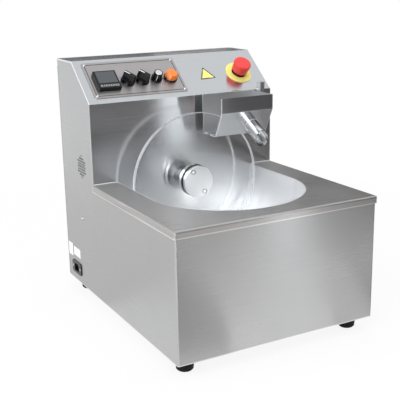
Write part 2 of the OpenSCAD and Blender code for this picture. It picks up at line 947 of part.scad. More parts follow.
module shaft_seal() {
    color("white") on_axis(wall_back_y) difference() {
        cylinder(d = seal_d, h = seal_t);
        translate([0, 0, -over]) cylinder(d = shaft_d + 2 * run_gap, h = seal_t + 2 * over);
    }
}

module bearing_housing() {
    color("slategray") difference() {
        union() {
            on_axis(wall_back_y) linear_extrude(bearing_flange_t)
                polygon(rounded_rect(bearing_w, bearing_w, gearbox_corner_r));
            on_axis(wall_back_y) cylinder(d = bearing_boss_d, h = bearing_flange_t + bearing_boss_t);
        }
        on_axis(wall_back_y - over) cylinder(d = seal_d + 2 * seat_gap, h = seal_t + seat_gap + over);
        on_axis(wall_back_y)
            cylinder(d = shaft_d + 2 * run_gap, h = bearing_flange_t + bearing_boss_t + over);
        bearing_stud_places() translate([0, 0, -over])
            cylinder(d = bearing_bolt_d + 2 * slide_gap, h = bearing_flange_t + 2 * over);
    }
}

module bearing_studs() {
    color("gray") bearing_stud_places() {
        cylinder(d = bearing_bolt_d, h = bearing_flange_t + bearing_nut_h + stud_spare);
        translate([0, 0, bearing_flange_t]) cylinder(d = bearing_nut_d, h = bearing_nut_h, $fn = 6);
    }
}

module shaft_coupling() {
    color("dimgray") on_axis(coupling_y) difference() {
        chamfered_disc(coupling_d, coupling_t, hub_chamfer);
        translate([0, 0, -over]) cylinder(d = shaft_d + 2 * seat_gap, h = coupling_t / 2 + over);
        cylinder(d = output_d + 2 * seat_gap, h = coupling_t + over);
        for (z = [coupling_t / 4, coupling_t * 3 / 4])
            translate([0, 0, z]) rotate([90, 0, 0]) cylinder(d = coupling_screw_d, h = coupling_d);
    }
}

module gearbox_shaft() {
    y0 = coupling_y + coupling_t / 2 + seat_gap;
    color("silver") on_axis(y0) cylinder(d = output_d, h = gearbox_y + output_stick / 2 - y0);
}

module gearbox() {
    color("gray") difference() {
        union() {
            on_axis(gearbox_y) linear_extrude(gearbox_t)
                polygon(rounded_rect(gearbox_w, gearbox_w, gearbox_corner_r));
            on_axis(gearbox_y - gearbox_boss_t) cylinder(d = gearbox_boss_d, h = gearbox_boss_t);
        }
        on_axis(gearbox_y - gearbox_boss_t - over)
            cylinder(d = output_d + 2 * run_gap, h = output_stick / 2 + gearbox_boss_t + 2 * over);
        motor_screw_places() translate([0, 0, -over])
            cylinder(d = motor_screw_d + 2 * slide_gap, h = motor_screw_len + 2 * over);
    }
}

module drive_motor() {
    color("darkslategray") on_axis(motor_y) difference() {
        chamfered_disc(motor_d, motor_t, motor_rib_t);
        for (i = [0:motor_rib_count - 1])
            translate([0, 0, motor_rib_t * (2 * i + 2)]) difference() {
                cylinder(d = motor_d + 2 * over, h = motor_rib_t);
                translate([0, 0, -over])
                    cylinder(d = motor_d - 2 * motor_rib_depth, h = motor_rib_t + 2 * over);
            }
    }
}

module motor_screw_places() {
    dx = gearbox_w * motor_screw_share;
    dy = gearbox_t * motor_screw_share;
    for (sx = [-1, 1], sy = [-1, 1]) translate([sx * dx, beam_y + sy * dy, beam_top_z]) children();
}

// Channel across the cabinet, open below, with a flange against each side wall
module motor_beam() {
    reach = body_w / 2 - sheet_t - seat_gap;
    color("lightgray") difference() {
        translate([-reach, beam_y - beam_w / 2, beam_top_z - beam_h]) cube([2 * reach, beam_w, beam_h]);
        translate([-reach + beam_t, beam_y - beam_w / 2 + beam_t, beam_top_z - beam_h - over])
            cube([2 * (reach - beam_t), beam_w - 2 * beam_t, beam_h - beam_t + over]);
        motor_screw_places() translate([0, 0, -beam_t - over])
            cylinder(d = motor_screw_d + 2 * slide_gap, h = beam_t + 2 * over);
        side_screw_places() translate([0, 0, -screw_len - over])
            cylinder(d = screw_hole_d, h = screw_len + 2 * over);
    }
}

module motor_screws() {
    color("gray") motor_screw_places() {
        translate([0, 0, -beam_t - motor_screw_head_h])
            cylinder(d = motor_screw_head_d, h = motor_screw_head_h);
        translate([0, 0, -beam_t]) cylinder(d = motor_screw_d, h = beam_t + motor_screw_len);
    }
}

// Scraper trough and its hanger

module hanger_bracket() {
    plate_y = wall_y - hanger_plate_t;
    mid_z = arm_top_z - arm_h / 2;
    color("gainsboro") difference() {
        union() {
            along_x(post_x, post_x + post_w) {
                translate([post_y, arm_top_z - arm_h]) square([wall_y - post_y, arm_h]);
                translate([post_y, arm_top_z - arm_h]) square([post_d, post_top_z - arm_top_z + arm_h]);
            }
            along_y(plate_y, wall_y) translate([post_x + post_w / 2, mid_z])
                polygon(rounded_rect(hanger_plate_w, hanger_plate_h, bend_r));
        }
        hanger_screw_places() translate([0, 0, -hanger_plate_t - over])
            cylinder(d = screw_hole_d, h = hanger_plate_t + 2 * over);
    }
}

module hanger_screws() {
    color("gray") hanger_screw_places() pan_screw(screw_d, screw_head_d, screw_head_h, screw_len);
}

// Places a shape at the spout's root, with Z along the spout and out of the trough
module at_spout() {
    translate([spout_x, spout_root_y, spout_root_z]) rotate([90 + trough_slope_angle, 0, 0]) children();
}

module trough_front_sheet() {
    color("silver") difference() {
        union() {
            along_x(trough_x, slot_end_x) folded(concat(front_line, [front_lip]), trough_r, trough_t);
            along_x(slot_end_x, trough_right_x) folded(front_line, trough_r, trough_t);
        }
        at_spout() translate([0, 0, -trough_t - over])
            cylinder(d = spout_d + 2 * seat_gap, h = trough_t + 2 * over);
    }
}

module trough_back_sheet() {
    tab_y = wall_y - slide_gap;
    color("silver") {
        along_x(trough_x, slot_end_x) folded(concat(back_line, [back_lip]), trough_r, -trough_t);
        along_x(slot_end_x, trough_right_x) folded(back_line, trough_r, -trough_t);
        translate([stop_tab_x - stop_tab_w / 2, trough_back_y - trough_t, trough_top_z - trough_t])
            cube([stop_tab_w, tab_y - trough_back_y + trough_t, trough_t]);
    }
}

// Plate between the two sheets at the right end, with a tab that closes the slot's end
module trough_end_plate() {
    off = trough_t + seat_gap;
    tab_d = slot_back_y - slot_front_y - 2 * seat_gap;
    color("silver") {
        along_x(trough_right_x - trough_t, trough_right_x) polygon(concat(
            fold_line(front_line, trough_r, off),
            reversed(fold_line(back_line, trough_r, -off))
        ));
        translate([slot_end_x, slot_front_y + seat_gap, trough_bottom_z])
            cube([trough_right_x - slot_end_x, tab_d, off + seat_gap]);
    }
}

module trough_spout() {
    length = spout_reach + spout_d;
    color("gainsboro") difference() {
        at_spout() translate([0, 0, -trough_t]) difference() {
            cylinder(d = spout_d, h = length + trough_t);
            translate([0, 0, -over]) cylinder(d = spout_d - 2 * spout_t, h = length + trough_t + 2 * over);
        }
        translate([spout_x - spout_d, spout_mouth_y - 2 * length, spout_root_z - 2 * length])
            cube([2 * spout_d, 2 * length, 4 * length]);
    }
}

// Rectangular sleeve on the end plate that slides over the hanger post
module trough_sleeve() {
    wall = sleeve_t + slide_gap;
    color("silver") translate([trough_right_x, post_y - wall, arm_top_z + slide_gap]) difference() {
        cube([post_w + 2 * wall, post_d + 2 * wall, sleeve_h]);
        translate([sleeve_t, sleeve_t, -over])
            cube([post_w + 2 * slide_gap, post_d + 2 * slide_gap, sleeve_h + 2 * over]);
    }
}

// Control panel

module plate_screw_places() {
    dx = plate_w / 2 - plate_screw_inset;
    du = plate_h / 2 - plate_screw_inset;
    for (sx = [-1, 1], su = [-1, 1]) on_panel(plate_x + sx * dx, plate_u + su * du) children();
}

module control_plate() {
    color("rosybrown") difference() {
        on_panel(plate_x, plate_u) linear_extrude(plate_t) polygon(rounded_rect(plate_w, plate_h, plate_r));
        panel_holes();
    }
}

module control_plate_screws() {
    color("whitesmoke") plate_screw_places() translate([0, 0, plate_t])
        pan_screw(plate_screw_d, plate_screw_head_d, plate_screw_head_h, plate_screw_len);
}

// Places a shape at one of the controller's keys, on its front face
module at_key(i) {
    on_panel(controller_x + (i - (key_count + 1) / 2) * key_pitch, controller_u - key_drop_u)
        translate([0, 0, plate_t + controller_h]) children();
}

module controller_case() {
    color("dimgray") difference() {
        on_panel(controller_x, controller_u) {
            translate([0, 0, plate_t]) soft_block(controller_w, controller_w, controller_h, controller_r);
            translate([0, 0, -controller_case_d]) linear_extrude(controller_case_d + plate_t)
                square(controller_case_w, center = true);
        }
        on_panel(controller_x, controller_u + window_rise_u)
            translate([0, 0, plate_t + controller_h - window_t]) linear_extrude(window_t + over)
                square([window_w + 2 * seat_gap, window_h + 2 * seat_gap], center = true);
        for (i = [1:key_count])
            at_key(i) translate([0, 0, -key_depth - key_travel - slide_gap])
                linear_extrude(key_depth + key_travel + slide_gap + over)
                    square([key_w + 2 * slide_gap, key_h + 2 * slide_gap], center = true);
    }
}

module controller_window() {
    color("slategray") on_panel(controller_x, controller_u + window_rise_u)
        translate([0, 0, plate_t + controller_h - window_t]) linear_extrude(window_t)
            square([window_w, window_h], center = true);
}

module controller_key(i) {
    color("lightgray") at_key(i) translate([0, 0, -key_depth])
        soft_block(key_w, key_h, key_depth + key_rise, key_rise / 2);
}

// Ring, barrel, nut and contact block of a round device, bored for a stem
module device_body(ring_d, ring_h, lift, bore_d) {
    difference() {
        union() {
            translate([0, 0, lift]) chamfered_disc(ring_d, ring_h, device_ring_edge);
            translate([0, 0, -sheet_t - device_nut_h])
                cylinder(d = device_d, h = lift + sheet_t + device_nut_h);
            translate([0, 0, -sheet_t - device_nut_h]) cylinder(d = device_nut_d, h = device_nut_h);
            translate([0, 0, -sheet_t - device_nut_h - block_d]) linear_extrude(block_d)
                square(block_w, center = true);
        }
        translate([0, 0, -sheet_t - device_nut_h - selector_stem_h])
            cylinder(d = bore_d, h = lift + ring_h + sheet_t + device_nut_h + selector_stem_h + over);
    }
}

// Selector knob: a stem, a disc and a wedge grip with a pointer groove on its ridge
module selector_knob() {
    z0 = plate_t + device_ring_h + slide_gap;
    rotate([0, 0, selector_rest_angle]) difference() {
        union() {
            translate([0, 0, -selector_stem_h + z0]) cylinder(d = selector_stem_d, h = selector_stem_h);
            translate([0, 0, z0]) cylinder(d = selector_disc_d, h = selector_disc_h);
            translate([0, 0, z0 + selector_disc_h]) intersection() {
                cylinder(d1 = selector_disc_d, d2 = selector_disc_d - selector_mark_w, h = selector_grip_h);
                along_y(-selector_disc_d / 2, selector_disc_d / 2) polygon([
                    [-selector_grip_root / 2, 0],
                    [selector_grip_root / 2, 0],
                    [selector_grip_tip / 2, selector_grip_h],
                    [-selector_grip_tip / 2, selector_grip_h],
                ]);
            }
        }
        translate([-selector_mark_w / 2, 0, z0 + selector_disc_h + selector_grip_h - selector_mark_depth])
            cube([selector_mark_w, selector_disc_d, selector_mark_depth + over]);
    }
}

module selector_body() {
    device_body(device_ring_d, device_ring_h, plate_t, selector_stem_d + 2 * slide_gap);
}

module heat_switch_body() {
    color("dimgray") on_panel(selector_x, control_u) selector_body();
}

module heat_knob() {
    color("dimgray") on_panel(selector_x, control_u) selector_knob();
}

module wheel_switch_body() {
    color("dimgray") on_panel(selector_x + control_pitch, control_u) selector_body();
}

module wheel_knob() {
    color("dimgray") on_panel(selector_x + control_pitch, control_u) selector_knob();
}

module at_speed() {
    on_panel(selector_x + 2 * control_pitch, control_u) translate([0, 0, plate_t]) children();
}

module speed_pot() {
    deep = plate_t + sheet_t;
    color("gray") at_speed() difference() {
        union() {
            translate([0, 0, -deep]) cylinder(d = speed_bush_d, h = deep + speed_nut_h);
            cylinder(d = speed_nut_d, h = speed_nut_h, $fn = 6);
            translate([0, 0, -deep - speed_pot_h]) cylinder(d = speed_pot_d, h = speed_pot_h);
        }
        translate([0, 0, -deep - speed_pot_h / 2])
            cylinder(d = speed_stem_d + 2 * slide_gap, h = deep + speed_pot_h + over);
    }
}

module speed_knob() {
    stem_r = speed_stem_d / 2;
    cap_r = speed_cap_d / 2 + seat_gap;
    skirt_z = speed_lift + speed_skirt_h;
    top_z = speed_lift + speed_knob_h;
    color("dimgray") at_speed() rotate([0, 0, speed_rest_angle]) {
        difference() {
            rotate_extrude() polygon([
                [0, -plate_t - sheet_t],
                [stem_r, -plate_t - sheet_t],
                [stem_r, speed_lift + speed_under_h],
                [speed_under_d / 2, speed_lift + speed_under_h],
                [speed_under_d / 2, speed_lift],
                [speed_skirt_d / 2, speed_lift],
                [speed_skirt_d / 2, skirt_z],
                [speed_body_d / 2, skirt_z],
                [speed_top_d / 2, top_z],
                [cap_r, top_z],
                [cap_r, top_z - speed_cap_h / 2],
                [0, top_z - speed_cap_h / 2],
            ]);
            for (i = [1:speed_flute_count - 1])
                rotate([0, 0, 90 + i * 360 / speed_flute_count])
                    translate([speed_body_d / 2, 0, skirt_z + speed_rib_h])
                        cylinder(d = speed_flute_d, h = speed_knob_h);
        }
        translate([-speed_rib_w / 2, speed_top_d / 2 - speed_rib_w, skirt_z - speed_rib_h])
            cube([speed_rib_w, (speed_skirt_d - speed_top_d) / 2, 2 * speed_rib_h]);
    }
}

module speed_knob_cap() {
    color("gainsboro") at_speed() translate([0, 0, speed_lift + speed_knob_h - speed_cap_h / 2])
        chamfered_disc(speed_cap_d, speed_cap_h, speed_cap_h / 4);
}

module at_lamp() {
    on_panel(selector_x + 3 * control_pitch, control_u) children();
}

module lamp_ring() {
    color("dimgray") at_lamp() device_body(lamp_ring_d, lamp_ring_h, plate_t, selector_stem_d);
}

module lamp_lens() {
    top = lamp_lens_h + lamp_cap_h;
    color("orange") at_lamp() translate([0, 0, plate_t + lamp_ring_h]) rotate_extrude() polygon([
        [0, 0],
        [lamp_lens_d / 2, 0],
        [lamp_lens_d / 2, lamp_lens_h - lamp_edge],
        [lamp_cap_d / 2, lamp_lens_h],
        [lamp_cap_d / 2, top - lamp_edge],
        [lamp_cap_d / 2 - lamp_edge, top],
        [0, top],
    ]);
}

module at_stop() {
    on_panel(stop_x, control_u) children();
}

module stop_collar() {
    color("gold") at_stop() difference() {
        chamfered_disc(stop_collar_d, stop_collar_t, device_ring_edge / 2);
        translate([0, 0, -over]) cylinder(d = device_hole_d, h = stop_collar_t + 2 * over);
    }
}

module stop_body() {
    color("dimgray") at_stop()
        device_body(stop_ring_d, stop_ring_h, stop_collar_t, stop_stem_d + 2 * slide_gap);
}

module stop_stem() {
    z0 = stop_collar_t + stop_ring_h;
    color("gray") at_stop() translate([0, 0, z0 - stop_stem_sink])
        cylinder(d = stop_stem_d, h = stop_stem_sink + stop_stem_rise);
}

// Mushroom head with a drawn-in waist, hollow below for the stem
module stop_head() {
    z0 = stop_collar_t + stop_ring_h + stop_travel + stop_head_lift;
    socket_h = stop_stem_rise - stop_travel - stop_head_lift + slide_gap;
    r = stop_head_d / 2;
    e = stop_head_edge;
    color("red") at_stop() translate([0, 0, z0]) rotate_extrude() polygon(concat(
        [
            [0, socket_h],
            [stop_stem_d / 2 + slide_gap, socket_h],
            [stop_stem_d / 2 + slide_gap, 0],
            [stop_waist_d / 2, 0],
        ],
        arc([r - e, stop_head_h - e], e, 0, 90),
        [[0, stop_head_h]]
    ));
}

// Power inlet

module inlet_cut() {
    translate([0, 0, -sheet_t - over]) linear_extrude(sheet_t + 2 * over)
        square([inlet_body_h + 2 * slide_gap, inlet_body_w + 2 * slide_gap], center = true);
    for (s = [-1, 1])
        translate([0, s * inlet_screw_pitch / 2, -sheet_t - over])
            cylinder(d = inlet_screw_d + 2 * slide_gap, h = sheet_t + 2 * over);
}

// Outline of the socket's mouth, with two cut corners
module inlet_mouth() {
    w = inlet_mouth_w / 2;
    h = inlet_mouth_h / 2;
    c = inlet_mouth_cut;
    polygon([[-h, -w], [h - c, -w], [h, -w + c], [h, w - c], [h - c, w], [-h, w]]);
}

module power_inlet() {
    hole_d = inlet_screw_d + 2 * slide_gap;
    sink_d = inlet_screw_head_d + 2 * slide_gap;
    color("darkslategray") on_left_wall(inlet_y, inlet_z) difference() {
        union() {
            linear_extrude(inlet_t) polygon(rounded_rect(inlet_h, inlet_w, inlet_r));
            translate([0, 0, -inlet_body_d]) linear_extrude(inlet_body_d)
                square([inlet_body_h, inlet_body_w], center = true);
        }
        translate([0, 0, inlet_t - inlet_mouth_d]) linear_extrude(inlet_mouth_d + over) inlet_mouth();
        for (s = [-1, 1]) translate([0, s * inlet_screw_pitch / 2, inlet_t]) {
            translate([0, 0, -inlet_t - over]) cylinder(d = hole_d, h = inlet_t + 2 * over);
            translate([0, 0, -inlet_screw_head_h]) cylinder(d1 = hole_d, d2 = sink_d, h = inlet_screw_head_h);
        }
    }
}

module inlet_pins() {
    color("silver") on_left_wall(inlet_y, inlet_z)
        for (i = [-1, 0, 1])
            translate([i == 0 ? pin_earth_rise : 0, i * pin_pitch, inlet_t - inlet_mouth_d])
                linear_extrude(pin_len) square([pin_w, pin_t], center = true);
}

module inlet_screws() {
    color("gainsboro") on_left_wall(inlet_y, inlet_z)
        for (s = [-1, 1]) translate([0, s * inlet_screw_pitch / 2, inlet_t - inlet_screw_head_h]) {
            cylinder(d1 = inlet_screw_d, d2 = inlet_screw_head_d, h = inlet_screw_head_h);
            translate([0, 0, -inlet_screw_len]) cylinder(d = inlet_screw_d, h = inlet_screw_len);
        }
}

// Electrics on the base tray

module control_board() {
    z0 = foot_h + base_t;
    color("seagreen") translate([board_x, board_y, z0]) {
        translate([0, 0, board_lift]) linear_extrude(board_t) square([board_w, board_h], center = true);
        for (sx = [-1, 1], sy = [-1, 1])
            translate([sx * (board_w / 2 - standoff_inset), sy * (board_h / 2 - standoff_inset), 0])
                cylinder(d = standoff_d, h = board_lift);
        translate([-board_w / 4, 0, board_lift + board_t]) linear_extrude(transformer_h)
            square([transformer_w, transformer_d], center = true);
        for (s = [-1, 1])
            translate([board_w / 8, s * board_h / 4, board_lift + board_t])
                cylinder(d = capacitor_d, h = capacitor_h);
        translate([board_w / 3, 0, board_lift + board_t]) linear_extrude(heatsink_h)
            square([heatsink_d, heatsink_w], center = true);
    }
}

module terminal_block() {
    color("ivory") translate([terminal_x, terminal_y, foot_h + base_t]) difference() {
        linear_extrude(terminal_h) square([terminal_w, terminal_d], center = true);
        for (i = [1:terminal_count], s = [-1, 1]) {
            x = (2 * i - terminal_count - 1) / 2 * terminal_w / terminal_count;
            translate([x, s * terminal_d / 4, terminal_h - terminal_well_h])
                cylinder(d = terminal_well_d, h = terminal_well_h + over);
        }
    }
}

body_wrap();
deck();
bowl();
console_face();
rear_cover();
rear_cover_screws();
base_tray();
feet();
foot_screws();
side_screws();
heater_mat();
insulation_jacket();
bowl_sensor();
wheel_disc();
hub_front_flange();
hub_rear_flange();
hub_screws();
drive_shaft();
shaft_seal();
bearing_housing();
bearing_studs();
shaft_coupling();
gearbox_shaft();
gearbox();
drive_motor();
motor_beam();
motor_screws();
hanger_bracket();
hanger_screws();
trough_front_sheet();
trough_back_sheet();
trough_end_plate();
trough_spout();
trough_sleeve();
control_plate();
control_plate_screws();
controller_case();
controller_window();
controller_key(1);  // controller_key_1
controller_key(2);  // controller_key_2
controller_key(3);  // controller_key_3
controller_key(4);  // controller_key_4
heat_switch_body();
heat_knob();
wheel_switch_body();
wheel_knob();
speed_pot();
speed_knob();
speed_knob_cap();
lamp_ring();
lamp_lens();
stop_collar();
stop_body();
stop_stem();
stop_head();
power_inlet();
inlet_pins();
inlet_screws();
control_board();
terminal_block();
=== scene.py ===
"""Looks of a wheel-type chocolate melting tank: finishes, panel marks, small trim and a studio stage."""

import json
import math

import bmesh
import bpy
from bpy.props import FloatProperty, FloatVectorProperty, PointerProperty
from mathutils import Matrix, Vector


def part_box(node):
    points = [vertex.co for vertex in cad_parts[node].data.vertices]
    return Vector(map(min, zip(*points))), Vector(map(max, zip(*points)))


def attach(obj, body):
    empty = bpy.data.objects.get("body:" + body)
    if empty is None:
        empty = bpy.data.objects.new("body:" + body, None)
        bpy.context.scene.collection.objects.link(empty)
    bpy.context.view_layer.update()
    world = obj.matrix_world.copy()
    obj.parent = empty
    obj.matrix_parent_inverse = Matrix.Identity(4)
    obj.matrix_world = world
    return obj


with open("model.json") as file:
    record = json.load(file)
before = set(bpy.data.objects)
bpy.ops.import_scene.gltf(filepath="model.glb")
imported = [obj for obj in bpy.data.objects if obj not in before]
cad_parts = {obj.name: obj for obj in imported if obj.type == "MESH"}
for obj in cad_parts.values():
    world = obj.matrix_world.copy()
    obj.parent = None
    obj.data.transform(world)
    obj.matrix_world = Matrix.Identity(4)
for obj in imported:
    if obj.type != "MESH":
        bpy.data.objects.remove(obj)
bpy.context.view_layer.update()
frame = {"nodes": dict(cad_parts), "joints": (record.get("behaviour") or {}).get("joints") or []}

bl_info = {
    "name": "Chocolate melting tank",
    "version": (1, 0, 0),
    "blender": (4, 5, 0),
    "location": "View3D > Sidebar > Tank",
    "description": "Finishes and trim of a wheel-type chocolate melting tank",
    "category": "Object",
}

NODES = frame["nodes"]
ORIGIN = (0.0, 0.0, 0.0)
X_AXIS = Vector((1.0, 0.0, 0.0))
Z_AXIS = (0.0, 0.0, 1.0)
BLACK = (0.0, 0.0, 0.0)
WHITE = (1.0, 1.0, 1.0)
RIGHT_ANGLE = math.radians(90.0)
FULL_TURN = math.radians(360.0)
SHARP_EDGE = math.radians(35.0)
HALF_PROFILE = 0.5
KEEP_MATERIAL = -1

# Range that noise mostly keeps to
NOISE_LOW, NOISE_HIGH = 0.3, 0.7

# Steel: its lines are noise stretched along X, Y and Z, and the slant about X shows them on level and upright faces
SHEET_BRUSH = (4.0, 4.0, 2600.0)
INNER_BRUSH = (60.0, 60.0, 900.0)
TROUGH_BRUSH = (5.0, 1800.0, 1800.0)
POST_BRUSH = (1800.0, 1800.0, 5.0)
SPOUT_BRUSH = (900.0, 40.0, 40.0)
PLATE_BRUSH = (5.0, 2200.0, 2200.0)
CAST_GRAIN = (300.0, 300.0, 300.0)
BEAD_GRAIN = (700.0, 700.0, 700.0)
PLAIN_GRAIN = (200.0, 200.0, 200.0)
BRUSH_SLANT = math.radians(45.0)
BRUSH_SMEAR = 0.95
QUARTER_TURN = 0.25
LINE_SHARE = 0.6
LINE_TONE = 0.1
LINE_BUMP = 0.00002
# Plain steel, and a lighter steel colour: brush lines lean a little toward it, and painted highlights on bends and
# sheet ends reach it
DULL_STEEL, GRAIN_AND_HIGHLIGHT_STEEL = 0.96, 1.7
RING_DARK, RING_LIGHT = 0.95, 1.03

# Plastic and rubber
CLOUD_SHARE = 0.7
CLOUD_DARK, CLOUD_LIGHT = 0.92, 1.08
GRAIN_BUMP = 0.00004
COAT_ROUGHNESS = 0.08

# Clear disc, the distances from its rim between which it turns frosted and takes a painted glow, and the colour of
# that painted glow
DISC_IOR = 1.2
DISC_TINT = (0.985, 0.992, 0.995)
DISC_SMOOTH, DISC_FROSTED = 0.015, 0.55
FROST_START, FROST_END = 0.0014, 0.0006
PAINTED_RIM_GLOW = (0.15, 0.15, 0.165)

# Colours of small parts and of parts inside
SEAM_SEAL = (0.72, 0.72, 0.72)
HEATER_SILICONE = (0.55, 0.16, 0.05)
JACKET_FIBRE = (0.72, 0.66, 0.48)
BRASS = (0.72, 0.5, 0.2)
SCREW_STEEL = (0.7, 0.7, 0.71)
SHAFT_SEAL = (0.8, 0.8, 0.78)
CAST_METAL = (0.42, 0.43, 0.45)
MOTOR_PAINT = (0.03, 0.033, 0.036)
SPUN_CAP = (0.78, 0.78, 0.78)
PLAIN_METAL = (0.5, 0.5, 0.5)
BOARD_GREEN = (0.02, 0.16, 0.07)
TERMINAL_IVORY = (0.78, 0.74, 0.62)

# Scale marks: joint, radius and angles in degrees from straight up
SELECTOR_OFF = 45.0
SPEED_LOWEST = 150.0
SCALES = (
    ("heat_selector_turn", 0.0166, (SELECTOR_OFF, -SELECTOR_OFF)),
    ("wheel_selector_turn", 0.0166, (SELECTOR_OFF, -SELECTOR_OFF)),
    ("speed_dial_turn", 0.0142, [SPEED_LOWEST - 30.0 * step for step in range(11)]),
)

# Pointers: width, length and height, and how far out from the knob's axis and below its top they sit
SELECTOR_POINTER = (0.0021, 0.0119, 0.00075)
SELECTOR_POINTER_OUT, SELECTOR_POINTER_DOWN = 0.0063, 0.0006
SPEED_POINTER = (0.0011, 0.0006, 0.0118)
SPEED_POINTER_OUT, SPEED_POINTER_DOWN = 0.0099, 0.0132
SPEED_POINTER_LEAN = math.atan2(0.001, 0.014)

# Key marks: sides, radius and turn in degrees
KEY_MARKS = ((20, 0.0017, 0.0), (3, 0.0024, 90.0), (3, 0.0024, -180.0), (3, 0.0024, 0.0))

# Sign plate's corners across and up the panel, level with the stop, and bare labels from low to high Y and Z
SIGN_CORNERS = ((0.0731, 0.0234, 0.0), (0.0551, -0.0108, 0.0), (0.0921, -0.009, 0.0))
SIGN_ROUNDING = 0.0025
LABELS = (("label_left", 0.233, 0.257, 0.076, 0.104), ("label_right", 0.188, 0.226, 0.082, 0.101))

# Camera and floor, which glows less near the tank, where the shadow lies, and in mirrors
SENSOR_WIDTH = 36.0
FLOOR_RADIUS = 9.0
FLOOR_ROUGHNESS = 0.9
FLOOR_NEAR, FLOOR_FAR = 0.35, 1.3
GLOW_NEAR, GLOW_FAR, GLOW_MIRRORED = 0.88, 1.0, 0.84

# Dim and off-white cloth and the strip on the floor, as shares of the grey, the pale and the strip light
DIM_SHARE = 0.48
OFF_WHITE_SHARE = 0.88
FLOOR_STRIP_SHARE = 0.78

# Curved flags and light strips: name, cloth, radius, lowest and highest point, start and sweep in degrees
FLAGS = (
    ("flag_front_left", "flag_dark", 1.3, 0.0, 0.95, -105.0, 40.4),
    ("strip_front", "strip_light", 1.28, 0.0, 1.1, -64.6, 4.4),
    ("flag_front_right", "flag_dark", 1.3, 0.0, 0.95, -60.2, 50.0),
    ("flag_back_right", "flag_dim", 1.3, 0.0, 1.3, 10.0, 37.0),
    ("flag_back_middle", "flag_grey", 1.3, 0.0, 1.12, 47.0, 9.0),
    ("flag_back_low", "flag_dark", 1.3, 0.0, 0.75, 56.0, 39.0),
    ("flag_back_high", "flag_pale", 1.3, 0.75, 1.0, 56.0, 12.0),
    ("flag_back_top", "flag_dim", 1.3, 1.0, 1.12, 56.0, 12.0),
    ("flag_back_left", "flag_dim", 1.3, 0.75, 1.12, 68.0, 27.0),
    ("strip_left", "flag_pale", 1.3, 0.4, 1.3, 150.0, 60.0),
    ("strip_camera", "camera_light", 1.3, 0.38, 1.05, -134.0, 28.5),
)

# Level cards: name, cloth, place, size and turn in degrees
CARDS = (
    ("card_left", "table_card", (-0.3, -0.8, 0.002), (0.55, 0.9), 0.0),
    ("card_right", "table_card", (0.9, -0.75, 0.002), (0.5, 0.9), 0.0),
    ("card_far", "flag_dark", (0.89, -0.86, 0.004), (0.42, 0.48), 0.0),
    ("card_side", "flag_grey", (0.46, -0.1, 0.002), (0.36, 0.6), 0.0),
    ("flag_over", "flag_dim", (-0.68, 1.3, 2.2), (1.25, 2.0), 0.0),
    ("card_wall", "card_off_white", (-0.5, 0.65, 0.002), (0.6, 1.1), 0.0),
    ("strip_floor", "floor_light", (0.25, -0.62, 0.006), (0.9, 0.2), -55.4),
)

# Lamps: name, place, aim, size, spread in degrees, watts, colour, and whether mirrors show it
MIDDLE = (0.0, 0.0, 0.25)
LAMPS = (
    ("key_light", (-1.7, -1.3, 1.9), "middle", 1.6, 180.0, 28.0, (1.0, 0.985, 0.97), True),
    ("top_light", (0.2, 0.1, 2.4), "middle", 1.8, 180.0, 26.0, (0.97, 0.985, 1.0), False),
    ("fill_light", (1.9, -1.2, 1.3), "middle", 1.4, 180.0, 8.0, WHITE, False),
    ("left_light", (-2.0, 0.3, 1.0), "middle", 1.2, 180.0, 14.0, WHITE, False),
    ("bowl_light", (-1.5, -0.1, 0.95), "bowl", 0.2, 12.0, 0.1, (0.95, 1.0, 1.04), False),
)


def joint(name):
    """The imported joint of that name."""
    return next(j for j in frame["joints"] if j["name"] == name)


PANEL_NORMAL = Vector(joint("heat_selector_turn")["axis"]).normalized()
PANEL_UP = PANEL_NORMAL.cross(X_AXIS).normalized()
WHEEL_AXIS = Vector(joint("wheel_turn")["pos_m"])


def height_on_panel(node):
    """How far a node reaches along the panel's normal."""
    return max(PANEL_NORMAL.dot(v.co) for v in NODES[node].data.vertices)


def panel_matrix(point, height, turn=0.0):
    """Frame on the panel at a point: X across, Y up the slope, Z outward, turned about Z."""
    seat = Vector(point)
    seat += PANEL_NORMAL * (height - PANEL_NORMAL.dot(seat))
    axes = Matrix((X_AXIS, PANEL_UP, PANEL_NORMAL)).transposed().to_4x4()
    return Matrix.Translation(seat) @ axes @ Matrix.Rotation(turn, 4, "Z")


def node_middle(node):
    """Middle of a node's box."""
    low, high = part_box(node)
    return (low + high) / 2


# Sizes and colours


def colour_value(name, description, default):
    """Property for a colour."""
    return FloatVectorProperty(name=name, description=description, subtype="COLOR", default=default)


def length_value(name, description, default):
    """Property for a length in metres."""
    return FloatProperty(name=name, description=description, unit="LENGTH", default=default)


